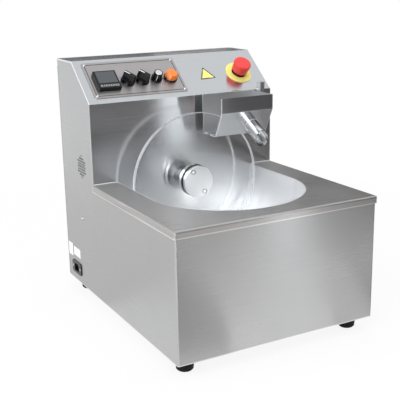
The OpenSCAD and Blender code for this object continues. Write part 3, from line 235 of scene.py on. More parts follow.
class TankFinish(bpy.types.PropertyGroup):
    """Colours of the metals, plastics and rubber."""

    cabinet: colour_value("Cabinet steel", "Colour of the brushed cabinet sheets", (0.53, 0.53, 0.53))
    deck: colour_value("Deck steel", "Colour of the deck and its lip", (0.55, 0.535, 0.525))
    console: colour_value("Console steel", "Colour of the splash wall and the slanted panel", (0.605, 0.609, 0.615))
    polished: colour_value("Polished steel", "Colour of the bowl, the hub and the spout", (0.88, 0.89, 0.9))
    trough: colour_value("Trough steel", "Colour of the scraper trough", (0.54, 0.546, 0.552))
    plate: colour_value("Control plate", "Colour of the control plate", (0.5, 0.465, 0.455))
    black: colour_value("Black plastic", "Colour of the knobs and frames", (0.005, 0.0055, 0.0065))
    rubber: colour_value("Foot rubber", "Colour of the feet", (0.006, 0.006, 0.006))
    red: colour_value("Stop head", "Colour of the stop button", (0.82, 0.045, 0.04))
    yellow: colour_value("Stop collar", "Colour of the collar and the sign plate", (0.97, 0.86, 0.24))
    orange: colour_value("Lamp lens", "Colour of the pilot lamp", (1.0, 0.21, 0.004))
    window: colour_value("Display window", "Colour of the controller's display", (0.06, 0.067, 0.074))
    key: colour_value("Keys", "Colour of the controller's keys", (0.3, 0.31, 0.315))
    white: colour_value("White marks", "Colour of the pointers and the bare labels", (0.86, 0.86, 0.86))
    ink: colour_value("Dark marks", "Colour of printed lines", (0.03, 0.028, 0.026))


class TankTrim(bpy.types.PropertyGroup):
    """Sizes of the marks and of the trim."""

    mark_height: length_value("Mark height", "How far a printed or set-in mark stands up", 0.00015)
    border_inset: length_value("Border inset", "Distance of the plate's frame line from its edge", 0.0056)
    border_width: length_value("Border width", "Width of the plate's frame line", 0.0014)
    tick_length: length_value("Tick length", "Length of a scale mark", 0.0026)
    tick_width: length_value("Tick width", "Width of a scale mark", 0.0007)
    bead_radius: length_value("Bead radius", "Radius of the sealed seam between deck and wall", 0.0013)
    weld_radius: length_value("Weld radius", "Radius of the weld bead round the spout", 0.0011)
    sign_border: length_value("Sign border", "Width of the sign plate's dark border", 0.0026)
    label_thickness: length_value("Label thickness", "Thickness of a bare label", 0.0003)


class TankStage(bpy.types.PropertyGroup):
    """Camera and light."""

    camera_place: FloatVectorProperty(
        name="Camera place", description="Where the camera stands", subtype="TRANSLATION", unit="LENGTH",
        default=(-0.7574133, -1.3612468, 0.6552618))
    azimuth: FloatProperty(
        name="Azimuth", description="Direction of the camera round the tank", subtype="ANGLE",
        default=math.radians(-28.5141))
    elevation: FloatProperty(
        name="Elevation", description="How far the camera looks down", subtype="ANGLE", default=math.radians(15.4086))
    roll: FloatProperty(
        name="Roll", description="Turn of the camera about its view", subtype="ANGLE", default=math.radians(-0.9905))
    lens: FloatProperty(name="Lens", description="Focal length of the camera", unit="CAMERA", default=72.4156)
    floor_colour: colour_value("Floor", "Colour of the floor", (0.9, 0.9, 0.9))
    sky_colour: colour_value("Sky", "Colour of the white tent that the metal mirrors", (0.94, 0.97, 1.0))
    flag_dark: colour_value(
        "Dark flags", "Colour of the dark studio flags that the metal mirrors", (0.1, 0.092, 0.096))
    flag_grey: colour_value(
        "Grey flags", "Colour of the grey studio flags that the metal mirrors", (0.34, 0.335, 0.335))
    flag_pale: colour_value(
        "Pale flags", "Colour of the pale studio flags that the metal mirrors", (0.9, 0.895, 0.89))
    strip_strength: FloatProperty(
        name="Strip light", description="Strength of the upright strip that the brushed steel mirrors", default=1.5)
    strip_tint: colour_value("Strip tint", "Colour of the light strips", (0.96, 1.0, 1.03))
    camera_strength: FloatProperty(
        name="Camera light", description="Strength of the light by the camera that the bowl and its back wall mirror",
        default=4.5)
    card_colour: colour_value(
        "Table cards", "Colour of the grey cards on the table that the front mirrors", (0.5, 0.5, 0.5))
    room_light: FloatProperty(name="Room light", description="Strength of the light from all round", default=0.42)


# Shader building


def new_material(name):
    """Material with its node tree, and a Principled shader on the tree's output."""
    material = bpy.data.materials.new(name)
    material.use_nodes = True
    tree = material.node_tree
    tree.nodes.clear()
    output = tree.nodes.new("ShaderNodeOutputMaterial")
    shader = tree.nodes.new("ShaderNodeBsdfPrincipled")
    tree.links.new(shader.outputs["BSDF"], output.inputs["Surface"])
    return material, tree, shader


def group_of(name, inputs, outputs):
    """New shader group with float or vector inputs and float outputs."""
    tree = bpy.data.node_groups.new(name, "ShaderNodeTree")
    for label, kind, value in inputs:
        socket = tree.interface.new_socket(label, in_out="INPUT", socket_type=kind)
        if value is not None:
            socket.default_value = value
    for label in outputs:
        tree.interface.new_socket(label, in_out="OUTPUT", socket_type="NodeSocketFloat")
    return tree, tree.nodes.new("NodeGroupInput"), tree.nodes.new("NodeGroupOutput")


def noise(tree, vector, scale, detail, roughness=0.55):
    """Noise node fed by a vector socket."""
    node = tree.nodes.new("ShaderNodeTexNoise")
    node.inputs["Scale"].default_value = scale
    node.inputs["Detail"].default_value = detail
    node.inputs["Roughness"].default_value = roughness
    tree.links.new(vector, node.inputs["Vector"])
    return node.outputs["Fac"]


def mapped(tree, value, low, high, new_low=0.0, new_high=1.0):
    """Value taken from one range to another."""
    node = tree.nodes.new("ShaderNodeMapRange")
    for label, number in zip(("From Min", "From Max", "To Min", "To Max"), (low, high, new_low, new_high)):
        node.inputs[label].default_value = number
    tree.links.new(value, node.inputs["Value"])
    return node.outputs["Result"]


def calc(tree, operation, first, second):
    """Math node on a socket and a socket or a number."""
    node = tree.nodes.new("ShaderNodeMath")
    node.operation = operation
    tree.links.new(first, node.inputs[0])
    if isinstance(second, (int, float)):
        node.inputs[1].default_value = second
    else:
        tree.links.new(second, node.inputs[1])
    return node.outputs["Value"]


def vector_calc(tree, operation, first, second):
    """Vector math node on two sockets."""
    node = tree.nodes.new("ShaderNodeVectorMath")
    node.operation = operation
    tree.links.new(first, node.inputs[0])
    tree.links.new(second, node.inputs[1])
    return node.outputs["Vector"]


def opened(tree, value, new_low=0.0, new_high=1.0):
    """Noise opened out to a range."""
    return mapped(tree, value, NOISE_LOW, NOISE_HIGH, new_low, new_high)


def weighted(tree, first, second, share):
    """Two values added, the first by its share and the second by the rest."""
    return calc(tree, "ADD", calc(tree, "MULTIPLY", first, share), calc(tree, "MULTIPLY", second, 1.0 - share))


def mixed_shader(tree, mask, first, second):
    """Shader that goes from one to another along a mask."""
    mix = tree.nodes.new("ShaderNodeMixShader")
    tree.links.new(mask, mix.inputs["Fac"])
    tree.links.new(first, mix.inputs[1])
    tree.links.new(second, mix.inputs[2])
    return mix.outputs["Shader"]


def light_path(tree):
    """Masks of what is seen directly or through the clear disc, and of what is mirrored."""
    path = tree.nodes.new("ShaderNodeLightPath")
    seen = calc(tree, "MAXIMUM", path.outputs["Is Camera Ray"], path.outputs["Is Transmission Ray"])
    return seen, path.outputs["Is Glossy Ray"]


def brushed_group():
    """Straight brush lines: stretched noise along one direction, with wide soft bands."""
    tree, start, end = group_of("Brushed lines", [
        ("Vector", "NodeSocketVector", None),
        ("Stretch", "NodeSocketVector", (1.0, 1.0, 1.0)),
    ], ["Lines", "Bands"])
    stretched = vector_calc(tree, "MULTIPLY", start.outputs["Vector"], start.outputs["Stretch"])
    lines = noise(tree, stretched, scale=1.0, detail=4.0, roughness=0.65)
    bands = noise(tree, stretched, scale=0.07, detail=2.0)
    tree.links.new(lines, end.inputs["Lines"])
    tree.links.new(bands, end.inputs["Bands"])
    return tree


def turned_group():
    """Rings left by a lathe or a polishing wheel round the wheel's axis."""
    tree, start, end = group_of("Turned rings", [
        ("Vector", "NodeSocketVector", None),
        ("Axis X", "NodeSocketFloat", 0.0),
        ("Axis Z", "NodeSocketFloat", 0.0),
        ("Pitch", "NodeSocketFloat", 2000.0),
    ], ["Rings", "Radius"])
    split = tree.nodes.new("ShaderNodeSeparateXYZ")
    tree.links.new(start.outputs["Vector"], split.inputs["Vector"])
    across = calc(tree, "SUBTRACT", split.outputs["X"], start.outputs["Axis X"])
    up = calc(tree, "SUBTRACT", split.outputs["Z"], start.outputs["Axis Z"])
    squares = calc(tree, "ADD", calc(tree, "MULTIPLY", across, across), calc(tree, "MULTIPLY", up, up))
    radius = calc(tree, "SQRT", squares, 0.0)
    ring = tree.nodes.new("ShaderNodeTexNoise")
    ring.noise_dimensions = "1D"
    ring.inputs["Scale"].default_value = 1.0
    ring.inputs["Detail"].default_value = 3.0
    tree.links.new(calc(tree, "MULTIPLY", radius, start.outputs["Pitch"]), ring.inputs["W"])
    tree.links.new(ring.outputs["Fac"], end.inputs["Rings"])
    tree.links.new(radius, end.inputs["Radius"])
    return tree


def handled_group():
    """Soft clouds from wiping and handling, and a fine moulded grain."""
    tree, start, end = group_of("Handled surface", [
        ("Vector", "NodeSocketVector", None),
    ], ["Clouds", "Grain"])
    tree.links.new(noise(tree, start.outputs["Vector"], scale=9.0, detail=3.0), end.inputs["Clouds"])
    tree.links.new(noise(tree, start.outputs["Vector"], scale=1600.0, detail=2.0), end.inputs["Grain"])
    return tree


def bend_highlight_group():
    """Painted highlights on bends and sheet ends, from the distances to a box's sides."""
    tree, start, end = group_of("Painted bend highlights", [
        ("Vector", "NodeSocketVector", None),
        ("Low", "NodeSocketVector", ORIGIN),
        ("High", "NodeSocketVector", (1.0, 1.0, 1.0)),
        ("Width", "NodeSocketFloat", 0.002),
    ], ["Bend", "End"])
    place = start.outputs["Vector"]
    above_low = vector_calc(tree, "SUBTRACT", place, start.outputs["Low"])
    below_high = vector_calc(tree, "SUBTRACT", start.outputs["High"], place)
    split = tree.nodes.new("ShaderNodeSeparateXYZ")
    tree.links.new(vector_calc(tree, "MINIMUM", above_low, below_high), split.inputs["Vector"])
    x, y, z = (calc(tree, "MAXIMUM", split.outputs[axis], 0.0) for axis in "XYZ")
    pairs = [calc(tree, "ADD", first, second) for first, second in ((x, y), (y, z), (x, z))]
    near = calc(tree, "MINIMUM", calc(tree, "MINIMUM", pairs[0], pairs[1]), pairs[2])
    for label, gap in (("Bend", near), ("End", x)):
        share = calc(tree, "DIVIDE", gap, start.outputs["Width"])
        tree.links.new(mapped(tree, share, low=1.0, high=0.4), end.inputs[label])
    return tree


GROUPS = {}


def shared(name, maker):
    """Shader group that is built once."""
    if name not in GROUPS:
        GROUPS[name] = maker()
    return GROUPS[name]


def use_group(tree, group, vector):
    """Group node in a material, fed by a vector socket."""
    node = tree.nodes.new("ShaderNodeGroup")
    node.node_tree = group
    tree.links.new(vector, node.inputs["Vector"])
    return node


def object_place(tree):
    """Object coordinates of a material."""
    return tree.nodes.new("ShaderNodeTexCoord").outputs["Object"]


def tinted(tree, shader, mask, dark, light, socket="Base Color"):
    """Colour that runs between two colours along a mask."""
    mix = tree.nodes.new("ShaderNodeMix")
    mix.data_type = "RGBA"
    colours = [entry for entry in mix.inputs if entry.type == "RGBA"]
    colours[0].default_value = (*dark, 1.0)
    colours[1].default_value = (*light, 1.0)
    tree.links.new(mask, mix.inputs["Factor"])
    result = next(entry for entry in mix.outputs if entry.type == "RGBA")
    tree.links.new(result, shader.inputs[socket])


def bumped(tree, shader, height, strength, distance):
    """Bump on a shader from a height socket."""
    bump = tree.nodes.new("ShaderNodeBump")
    bump.inputs["Strength"].default_value = strength
    bump.inputs["Distance"].default_value = distance
    tree.links.new(height, bump.inputs["Height"])
    tree.links.new(bump.outputs["Normal"], shader.inputs["Normal"])


def scaled(colour, factor):
    """Colour made darker, or lighter up to 1."""
    return tuple(min(1.0, c * factor) for c in colour)


def scaled_up(colour, strength):
    """Colour of a light at a strength that may pass 1."""
    return tuple(c * strength for c in colour)


def brushed_steel(name, colour, stretch, turn=0.0, smooth=0.24, rough=0.36, strength=0.15, grain=None, painted_highlight_node=None,
                  highlight_mask="Bend", highlight_width=0.0022, metal=1.0):
    """Brushed steel. Grain X smears mirror images across lines along X, grain Z upright on walls all round.

    The bends or ends of a node named by painted_highlight_node get a painted highlight: their colour is made lighter.
    """
    material, tree, shader = new_material(name)
    place = object_place(tree)
    mapping = tree.nodes.new("ShaderNodeMapping")
    mapping.inputs["Rotation"].default_value = (turn, 0.0, 0.0)
    tree.links.new(place, mapping.inputs["Vector"])
    lines = use_group(tree, shared("brushed", brushed_group), mapping.outputs["Vector"])
    lines.inputs["Stretch"].default_value = stretch
    clouds = use_group(tree, shared("handled", handled_group), place)
    tone = weighted(tree, lines.outputs["Lines"], lines.outputs["Bands"], LINE_SHARE)
    shade = opened(tree, tone, 0.0, LINE_TONE)
    # Painted highlight: the bends or sheet ends of the named node are made lighter in colour
    if painted_highlight_node:
        bends = use_group(tree, shared("painted_highlight_node", bend_highlight_group), place)
        bends.inputs["Low"].default_value, bends.inputs["High"].default_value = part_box(painted_highlight_node)
        bends.inputs["Width"].default_value = highlight_width
        shade = calc(tree, "MAXIMUM", shade, bends.outputs[highlight_mask])
    tinted(tree, shader, shade, scaled(colour, DULL_STEEL), scaled(colour, GRAIN_AND_HIGHLIGHT_STEEL))
    wear = weighted(tree, lines.outputs["Lines"], clouds.outputs["Clouds"], LINE_SHARE)
    tree.links.new(opened(tree, wear, smooth, rough), shader.inputs["Roughness"])
    bumped(tree, shader, lines.outputs["Lines"], strength, LINE_BUMP)
    shader.inputs["Metallic"].default_value = metal
    if grain:
        tangent = tree.nodes.new("ShaderNodeTangent")
        tangent.direction_type = "RADIAL"
        tangent.axis = grain
        tree.links.new(tangent.outputs["Tangent"], shader.inputs["Tangent"])
        shader.inputs["Anisotropic"].default_value = BRUSH_SMEAR
        shader.inputs["Anisotropic Rotation"].default_value = QUARTER_TURN if grain == "Z" else 0.0
    return material


def wheel_rings(tree, place):
    """Group node of the rings round the wheel's axis."""
    rings = use_group(tree, shared("turned", turned_group), place)
    rings.inputs["Axis X"].default_value = WHEEL_AXIS.x
    rings.inputs["Axis Z"].default_value = WHEEL_AXIS.z
    return rings


def turned_steel(name, colour, smooth, rough, pitch=1400.0, strength=0.08, metal=1.0):
    """Polished steel with fine rings round the wheel's axis."""
    material, tree, shader = new_material(name)
    place = object_place(tree)
    rings = wheel_rings(tree, place)
    rings.inputs["Pitch"].default_value = pitch
    clouds = use_group(tree, shared("handled", handled_group), place)
    tinted(tree, shader, opened(tree, rings.outputs["Rings"]), scaled(colour, RING_DARK), scaled(colour, RING_LIGHT))
    tree.links.new(opened(tree, clouds.outputs["Clouds"], smooth, rough), shader.inputs["Roughness"])
    bumped(tree, shader, rings.outputs["Rings"], strength, LINE_BUMP)
    shader.inputs["Metallic"].default_value = metal
    return material


def moulded(name, colour, smooth, rough, coat=0.0, strength=0.15, shine=0.5):
    """Moulded plastic or rubber with a fine grain and handling clouds."""
    material, tree, shader = new_material(name)
    surface = use_group(tree, shared("handled", handled_group), object_place(tree))
    clouds, grain = surface.outputs["Clouds"], surface.outputs["Grain"]
    tinted(tree, shader, opened(tree, clouds), scaled(colour, CLOUD_DARK), scaled(colour, CLOUD_LIGHT))
    wear = weighted(tree, clouds, grain, CLOUD_SHARE)
    tree.links.new(opened(tree, wear, smooth, rough), shader.inputs["Roughness"])
    bumped(tree, shader, grain, strength, GRAIN_BUMP)
    shader.inputs["Coat Weight"].default_value = coat
    shader.inputs["Coat Roughness"].default_value = COAT_ROUGHNESS
    shader.inputs["Specular IOR Level"].default_value = shine
    return material


def clear_plastic(name):
    """Clear polished plastic of the disc, frosted by its sawn rim, where it also has a painted glow though the disc
    is no lamp.
    """
    material, tree, shader = new_material(name)
    rings = wheel_rings(tree, object_place(tree))
    low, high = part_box("wheel_disc")
    edge = (high.x - low.x) / 2
    frost_and_painted_glow = mapped(tree, rings.outputs["Radius"], edge - FROST_START, edge - FROST_END)
    tree.links.new(mapped(tree, frost_and_painted_glow, 0.0, 1.0, DISC_SMOOTH, DISC_FROSTED), shader.inputs["Roughness"])
    tinted(tree, shader, frost_and_painted_glow, DISC_TINT, WHITE)
    # Painted glow: the frosted rim gives off light of its own
    tinted(tree, shader, frost_and_painted_glow, BLACK, PAINTED_RIM_GLOW, "Emission Color")
    shader.inputs["Emission Strength"].default_value = 1.0
    shader.inputs["Transmission Weight"].default_value = 1.0
    shader.inputs["IOR"].default_value = DISC_IOR
    return material


def finish(material, *nodes):
    """Gives CAD nodes a material."""
    for name in nodes:
        slots = NODES[name].material_slots
        if not slots:
            raise RuntimeError(name + " has no material slot")
        for slot in slots:
            slot.material = material


# Pieces


def mesh_object(name, shape, *materials):
    """Turns a bmesh into an object of the scene."""
    mesh = bpy.data.meshes.new(name)
    shape.to_mesh(mesh)
    shape.free()
    for material in materials:
        mesh.materials.append(material)
    made = bpy.data.objects.new(name, mesh)
    bpy.context.scene.collection.objects.link(made)
    return made


def piece(name, shape, body, slot, *materials, smooth=True):
    """Turns a bmesh into a piece that rides on a body."""
    bmesh.ops.recalc_face_normals(shape, faces=shape.faces)
    made = mesh_object(name, shape, *materials)
    if smooth:
        made.data.shade_smooth()
        made.data.set_sharp_from_angle(angle=SHARP_EDGE)
    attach(made, body)


def bar(shape, size, place):
    """Adds a block of a size to a bmesh, with its base on a frame's XY plane."""
    verts = bmesh.ops.create_cube(shape, size=1.0)["verts"]
    bmesh.ops.scale(shape, vec=size, verts=verts)
    bmesh.ops.translate(shape, vec=(0.0, 0.0, size[2] / 2), verts=verts)
    bmesh.ops.transform(shape, matrix=place, verts=verts)


def thicken(shape, height):
    """Raises the flat faces of a bmesh by a height."""
    raised = bmesh.ops.extrude_face_region(shape, geom=list(shape.faces))
    upper = [g for g in raised["geom"] if isinstance(g, bmesh.types.BMVert)]
    bmesh.ops.translate(shape, vec=(0.0, 0.0, height), verts=upper)


def tank(context):
    """The three groups of values."""
    scene = context.scene
    return scene.tank_finish, scene.tank_trim, scene.tank_stage


class TANK_OT_cabinet(bpy.types.Operator):
    """Brushed walls, deck and console, plain base, rubber feet and sealed seams"""

    bl_idname = "tank.cabinet"
    bl_label = "Cabinet"

    def execute(self, context):
        look, trim, _ = tank(context)
        # The wall, deck and console get painted highlights on their bends or sheet ends
        wall = brushed_steel("brushed_wall", look.cabinet, SHEET_BRUSH, grain="Z", painted_highlight_node="body_wrap")
        deck = brushed_steel("brushed_deck", look.deck, SHEET_BRUSH, turn=BRUSH_SLANT, grain="X", painted_highlight_node="deck")
        console = brushed_steel("brushed_console", look.console, SHEET_BRUSH, turn=BRUSH_SLANT, smooth=0.14,
                                rough=0.22, strength=0.1, grain="X", painted_highlight_node="console_face", highlight_mask="End")
        inner = brushed_steel("plain_sheet", scaled(look.cabinet, 0.85), INNER_BRUSH, smooth=0.35, rough=0.5)
        finish(wall, "body_wrap", "rear_cover")
        finish(deck, "deck")
        finish(console, "console_face")
        finish(inner, "base_tray", "motor_beam", "shaft_coupling")
        finish(moulded("foot_rubber", look.rubber, 0.55, 0.75, strength=0.3, shine=0.2), "feet")
        self.add_beads(trim)
        return {"FINISHED"}

    def add_beads(self, trim):
        """Sealed seam where the deck meets the splash wall, on both sides of the bowl."""
        _, deck_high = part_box("deck")
        bowl_low, bowl_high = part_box("bowl")
        wall_low, wall_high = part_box("console_face")
        seal = moulded("seam_seal", SEAM_SEAL, 0.3, 0.45)
        for side, start, end in (("left", wall_low.x, bowl_low.x), ("right", bowl_high.x, wall_high.x)):
            middle = Matrix.Translation(((start + end) / 2, deck_high.y, deck_high.z))
            shape = bmesh.new()
            bmesh.ops.create_cone(shape, cap_ends=True, segments=16, radius1=trim.bead_radius,
                                  radius2=trim.bead_radius, depth=end - start,
                                  matrix=middle @ Matrix.Rotation(RIGHT_ANGLE, 4, "Y"))
            piece("seam_" + side, shape, "cabinet", "cabinet_steel", seal)


class TANK_OT_bowl(bpy.types.Operator):
    """Polished bowl, its heater and jacket, and the brass sensor and inlet pins"""

    bl_idname = "tank.bowl"
    bl_label = "Bowl"

    def execute(self, context):
        look, _, _ = tank(context)
        finish(turned_steel("polished_bowl", look.polished, 0.3, 0.42, pitch=900.0, metal=0.65), "bowl")
        finish(moulded("heater_silicone", HEATER_SILICONE, 0.45, 0.6), "heater_mat")
        finish(moulded("jacket_fibre", JACKET_FIBRE, 0.8, 0.95, strength=0.8), "insulation_jacket")
        finish(turned_steel("sensor_brass", BRASS, 0.25, 0.4), "bowl_sensor", "inlet_pins")
        return {"FINISHED"}


class TANK_OT_wheel(bpy.types.Operator):
    """Clear disc, turned hub, drive train and all screws"""

    bl_idname = "tank.wheel"
    bl_label = "Wheel"

    def execute(self, context):
        look, _, _ = tank(context)
        finish(clear_plastic("clear_disc"), "wheel_disc")
        finish(turned_steel("turned_hub", look.polished, 0.16, 0.26, pitch=2400.0, strength=0.15),
               "hub_front_flange", "hub_rear_flange", "drive_shaft", "gearbox_shaft")
        finish(turned_steel("bright_screw", SCREW_STEEL, 0.18, 0.3),
               "hub_screws", "rear_cover_screws", "side_screws", "hanger_screws", "control_plate_screws",
               "foot_screws", "bearing_studs", "motor_screws", "inlet_screws")
        finish(moulded("seal_white", SHAFT_SEAL, 0.35, 0.5), "shaft_seal")
        finish(brushed_steel("cast_housing", CAST_METAL, CAST_GRAIN, smooth=0.45, rough=0.6),
               "bearing_housing", "gearbox")
        finish(moulded("motor_paint", MOTOR_PAINT, 0.35, 0.5), "drive_motor")
        return {"FINISHED"}


class TANK_OT_trough(bpy.types.Operator):
    """Satin scraper trough, polished spout and hanger"""

    bl_idname = "tank.trough"
    bl_label = "Scraper trough"

    def execute(self, context):
        look, trim, _ = tank(context)
        # The front sheet gets painted highlights on its sheet ends
        sheet = brushed_steel("satin_trough", look.trough, TROUGH_BRUSH, smooth=0.13, rough=0.2, strength=0.12,
                              grain="X", painted_highlight_node="trough_front_sheet", highlight_mask="End", highlight_width=0.0016)
        finish(sheet, "trough_front_sheet")
        finish(brushed_steel("washed_trough", look.trough, TROUGH_BRUSH, smooth=0.3, rough=0.42, metal=0.75),
               "trough_back_sheet", "trough_end_plate")
        finish(brushed_steel("polished_spout", look.polished, SPOUT_BRUSH, smooth=0.1, rough=0.17), "trough_spout")
        finish(brushed_steel("satin_hanger", scaled(look.polished, 1.04), POST_BRUSH, smooth=0.16, rough=0.26),
               "hanger_bracket", "trough_sleeve")
        self.add_spout_weld(look, trim)
        return {"FINISHED"}

    def add_spout_weld(self, look, trim):
        """Weld bead where the spout leaves the sloping sheet."""
        spout = [v.co for v in NODES["trough_spout"].data.vertices]
        slope = max(NODES["trough_front_sheet"].data.polygons, key=lambda f: f.area * -f.normal.z).normal
        along = slope.normalized()
        middle = sum((v - along * along.dot(v) for v in spout), Vector()) / len(spout)
        radius = max((v - along * along.dot(v) - middle).length for v in spout)
        foot = max(along.dot(v.co) for v in NODES["trough_front_sheet"].data.vertices)
        across = along.cross(X_AXIS).normalized()
        axes = Matrix((X_AXIS, across, along)).transposed().to_4x4()
        ring = Matrix.Translation((radius, 0.0, 0.0)) @ Matrix.Rotation(RIGHT_ANGLE, 4, "X")
        shape = bmesh.new()
        bmesh.ops.create_circle(shape, cap_ends=False, segments=12, radius=trim.weld_radius, matrix=ring)
        bmesh.ops.spin(shape, geom=shape.verts[:] + shape.edges[:], cent=ORIGIN, axis=Z_AXIS, angle=FULL_TURN,
                       steps=72, use_merge=True)
        place = Matrix.Translation(middle + along * foot) @ axes
        bmesh.ops.transform(shape, matrix=place, verts=shape.verts)
        bead = brushed_steel("weld_bead", scaled(look.polished, 0.8), BEAD_GRAIN, smooth=0.3, rough=0.45,
                             strength=0.5)
        piece("spout_weld", shape, "scraper", "trough_steel", bead)


class TANK_OT_panel(bpy.types.Operator):
    """Control plate with its frame line and scale marks, and the bare sign plate"""

    bl_idname = "tank.panel"
    bl_label = "Control plate"

    def execute(self, context):
        look, trim, _ = tank(context)
        finish(brushed_steel("satin_plate", look.plate, PLATE_BRUSH, turn=BRUSH_SLANT, smooth=0.28, rough=0.36,
                             grain="X"), "control_plate")
        ink = moulded("printed_ink", look.ink, 0.4, 0.5)
        self.add_border(trim, ink)
        self.add_ticks(trim, ink)
        self.add_sign(look, trim, ink)
        return {"FINISHED"}

    def add_border(self, trim, ink):
        """Thin frame line round the plate."""
        top = height_on_panel("control_plate")
        verts = [v.co for v in NODES["control_plate"].data.vertices]
        across = [X_AXIS.dot(v) for v in verts]
        along = [PANEL_UP.dot(v) for v in verts]
        width = max(across) - min(across) - 2 * trim.border_inset
        height = max(along) - min(along) - 2 * trim.border_inset
        place = panel_matrix(node_middle("control_plate"), top)
        shape = bmesh.new()
        for side in (-1, 1):
            bar(shape, (width + trim.border_width, trim.border_width, trim.mark_height),
                place @ Matrix.Translation((0.0, side * height / 2, 0.0)))
            bar(shape, (trim.border_width, height - trim.border_width, trim.mark_height),
                place @ Matrix.Translation((side * width / 2, 0.0, 0.0)))
        piece("plate_frame_line", shape, "cabinet", "plate_aluminium", ink, smooth=False)

    def add_ticks(self, trim, ink):
        """Scale marks round the selectors and the speed knob."""
        top = height_on_panel("control_plate")
        shape = bmesh.new()
        for name, radius, angles in SCALES:
            for angle in angles:
                place = panel_matrix(joint(name)["pos_m"], top, math.radians(angle))
                bar(shape, (trim.tick_width, trim.tick_length, trim.mark_height),
                    place @ Matrix.Translation((0.0, radius + trim.tick_length / 2, 0.0)))
        piece("plate_scale_marks", shape, "cabinet", "plate_aluminium", ink, smooth=False)

    def add_sign(self, look, trim, ink):
        """Bare three-cornered sign plate between the control plate and the stop."""
        collar = node_middle("stop_collar")
        place = panel_matrix((0.0, *collar.yz), height_on_panel("console_face"))
        shape = bmesh.new()
        verts = [shape.verts.new(corner) for corner in SIGN_CORNERS]
        shape.faces.new(verts)
        bmesh.ops.bevel(shape, geom=verts, offset=SIGN_ROUNDING, offset_type="OFFSET", affect="VERTICES", segments=4,
                        profile=HALF_PROFILE, material=KEEP_MATERIAL)
        thicken(shape, trim.label_thickness)
        front = max(shape.faces, key=lambda f: f.calc_center_median().z)
        bmesh.ops.inset_region(shape, faces=[front], thickness=trim.sign_border)
        for f in shape.faces:
            f.material_index = 1
        front.material_index = 0
        bmesh.ops.transform(shape, matrix=place, verts=shape.verts)
        yellow = moulded("sign_yellow", scaled(look.yellow, 1.02), 0.35, 0.5)
        piece("sign_plate", shape, "cabinet", "stop_yellow", yellow, ink, smooth=False)


class TANK_OT_controller(bpy.types.Operator):
    """Square temperature controller with its window and keys"""

    bl_idname = "tank.controller"
    bl_label = "Controller"

    def execute(self, context):
        look, trim, _ = tank(context)
        finish(moulded("controller_black", look.black, 0.18, 0.28, coat=0.1, shine=0.3), "controller_case")
        finish(moulded("display_window", look.window, 0.08, 0.16, coat=0.4, strength=0.02), "controller_window")
        keys = ["controller_key_%d" % i for i in range(1, 5)]
        finish(moulded("key_grey", look.key, 0.4, 0.55), *keys)
        ink = moulded("key_ink", look.ink, 0.4, 0.5)
        for number, (key, (sides, radius, turn)) in enumerate(zip(keys, KEY_MARKS), start=1):
            place = panel_matrix(node_middle(key), height_on_panel(key), math.radians(turn))
            shape = bmesh.new()
            bmesh.ops.create_circle(shape, cap_ends=True, segments=sides, radius=radius)
            thicken(shape, trim.mark_height)
            bmesh.ops.transform(shape, matrix=place, verts=shape.verts)
            piece("key_mark_%d" % number, shape, "key_%d" % number, "key_grey", ink, smooth=False)
        return {"FINISHED"}


class TANK_OT_knobs(bpy.types.Operator):
    """Black selector knobs and speed knob with white pointers"""

    bl_idname = "tank.knobs"
    bl_label = "Knobs"

    def execute(self, context):
        look, _, _ = tank(context)
        gloss = moulded("knob_black", look.black, 0.14, 0.24, coat=0.1, shine=0.3)
        finish(gloss, "heat_knob", "wheel_knob", "speed_knob", "heat_switch_body", "wheel_switch_body", "lamp_ring",
               "stop_body")
        finish(turned_steel("spun_cap", SPUN_CAP, 0.22, 0.32), "speed_knob_cap")
        finish(brushed_steel("plain_metal", PLAIN_METAL, PLAIN_GRAIN), "speed_pot", "stop_stem")
        white = moulded("pointer_white", look.white, 0.4, 0.5)
        for node, body, name in (("heat_knob", "heat_selector", "heat_selector_turn"),
                                 ("wheel_knob", "wheel_selector", "wheel_selector_turn")):
            height = height_on_panel(node) - SELECTOR_POINTER_DOWN
            place = panel_matrix(joint(name)["pos_m"], height, math.radians(SELECTOR_OFF))
            shape = bmesh.new()
            bar(shape, SELECTOR_POINTER, place @ Matrix.Translation((0.0, SELECTOR_POINTER_OUT, 0.0)))
            piece(node + "_pointer", shape, body, "black_plastic", white, smooth=False)
        top = height_on_panel("speed_knob")
        place = panel_matrix(joint("speed_dial_turn")["pos_m"], top, math.radians(SPEED_LOWEST))
        seat = Matrix.Translation((0.0, SPEED_POINTER_OUT, -SPEED_POINTER_DOWN))
        shape = bmesh.new()
        bar(shape, SPEED_POINTER, place @ seat @ Matrix.Rotation(SPEED_POINTER_LEAN, 4, "X"))
        piece("speed_knob_pointer", shape, "speed_dial", "black_plastic", white, smooth=False)
        return {"FINISHED"}


class TANK_OT_lamp_and_stop(bpy.types.Operator):
    """Orange pilot lamp and red stop button on its yellow collar"""

    bl_idname = "tank.lamp_and_stop"
    bl_label = "Lamp and stop"

    def execute(self, context):
        look, _, _ = tank(context)
        finish(moulded("lamp_orange", look.orange, 0.1, 0.18, coat=0.8, strength=0.03), "lamp_lens")
        finish(moulded("stop_yellow", look.yellow, 0.35, 0.5), "stop_collar")
        finish(moulded("stop_red", look.red, 0.34, 0.46, coat=0.1), "stop_head")
        return {"FINISHED"}


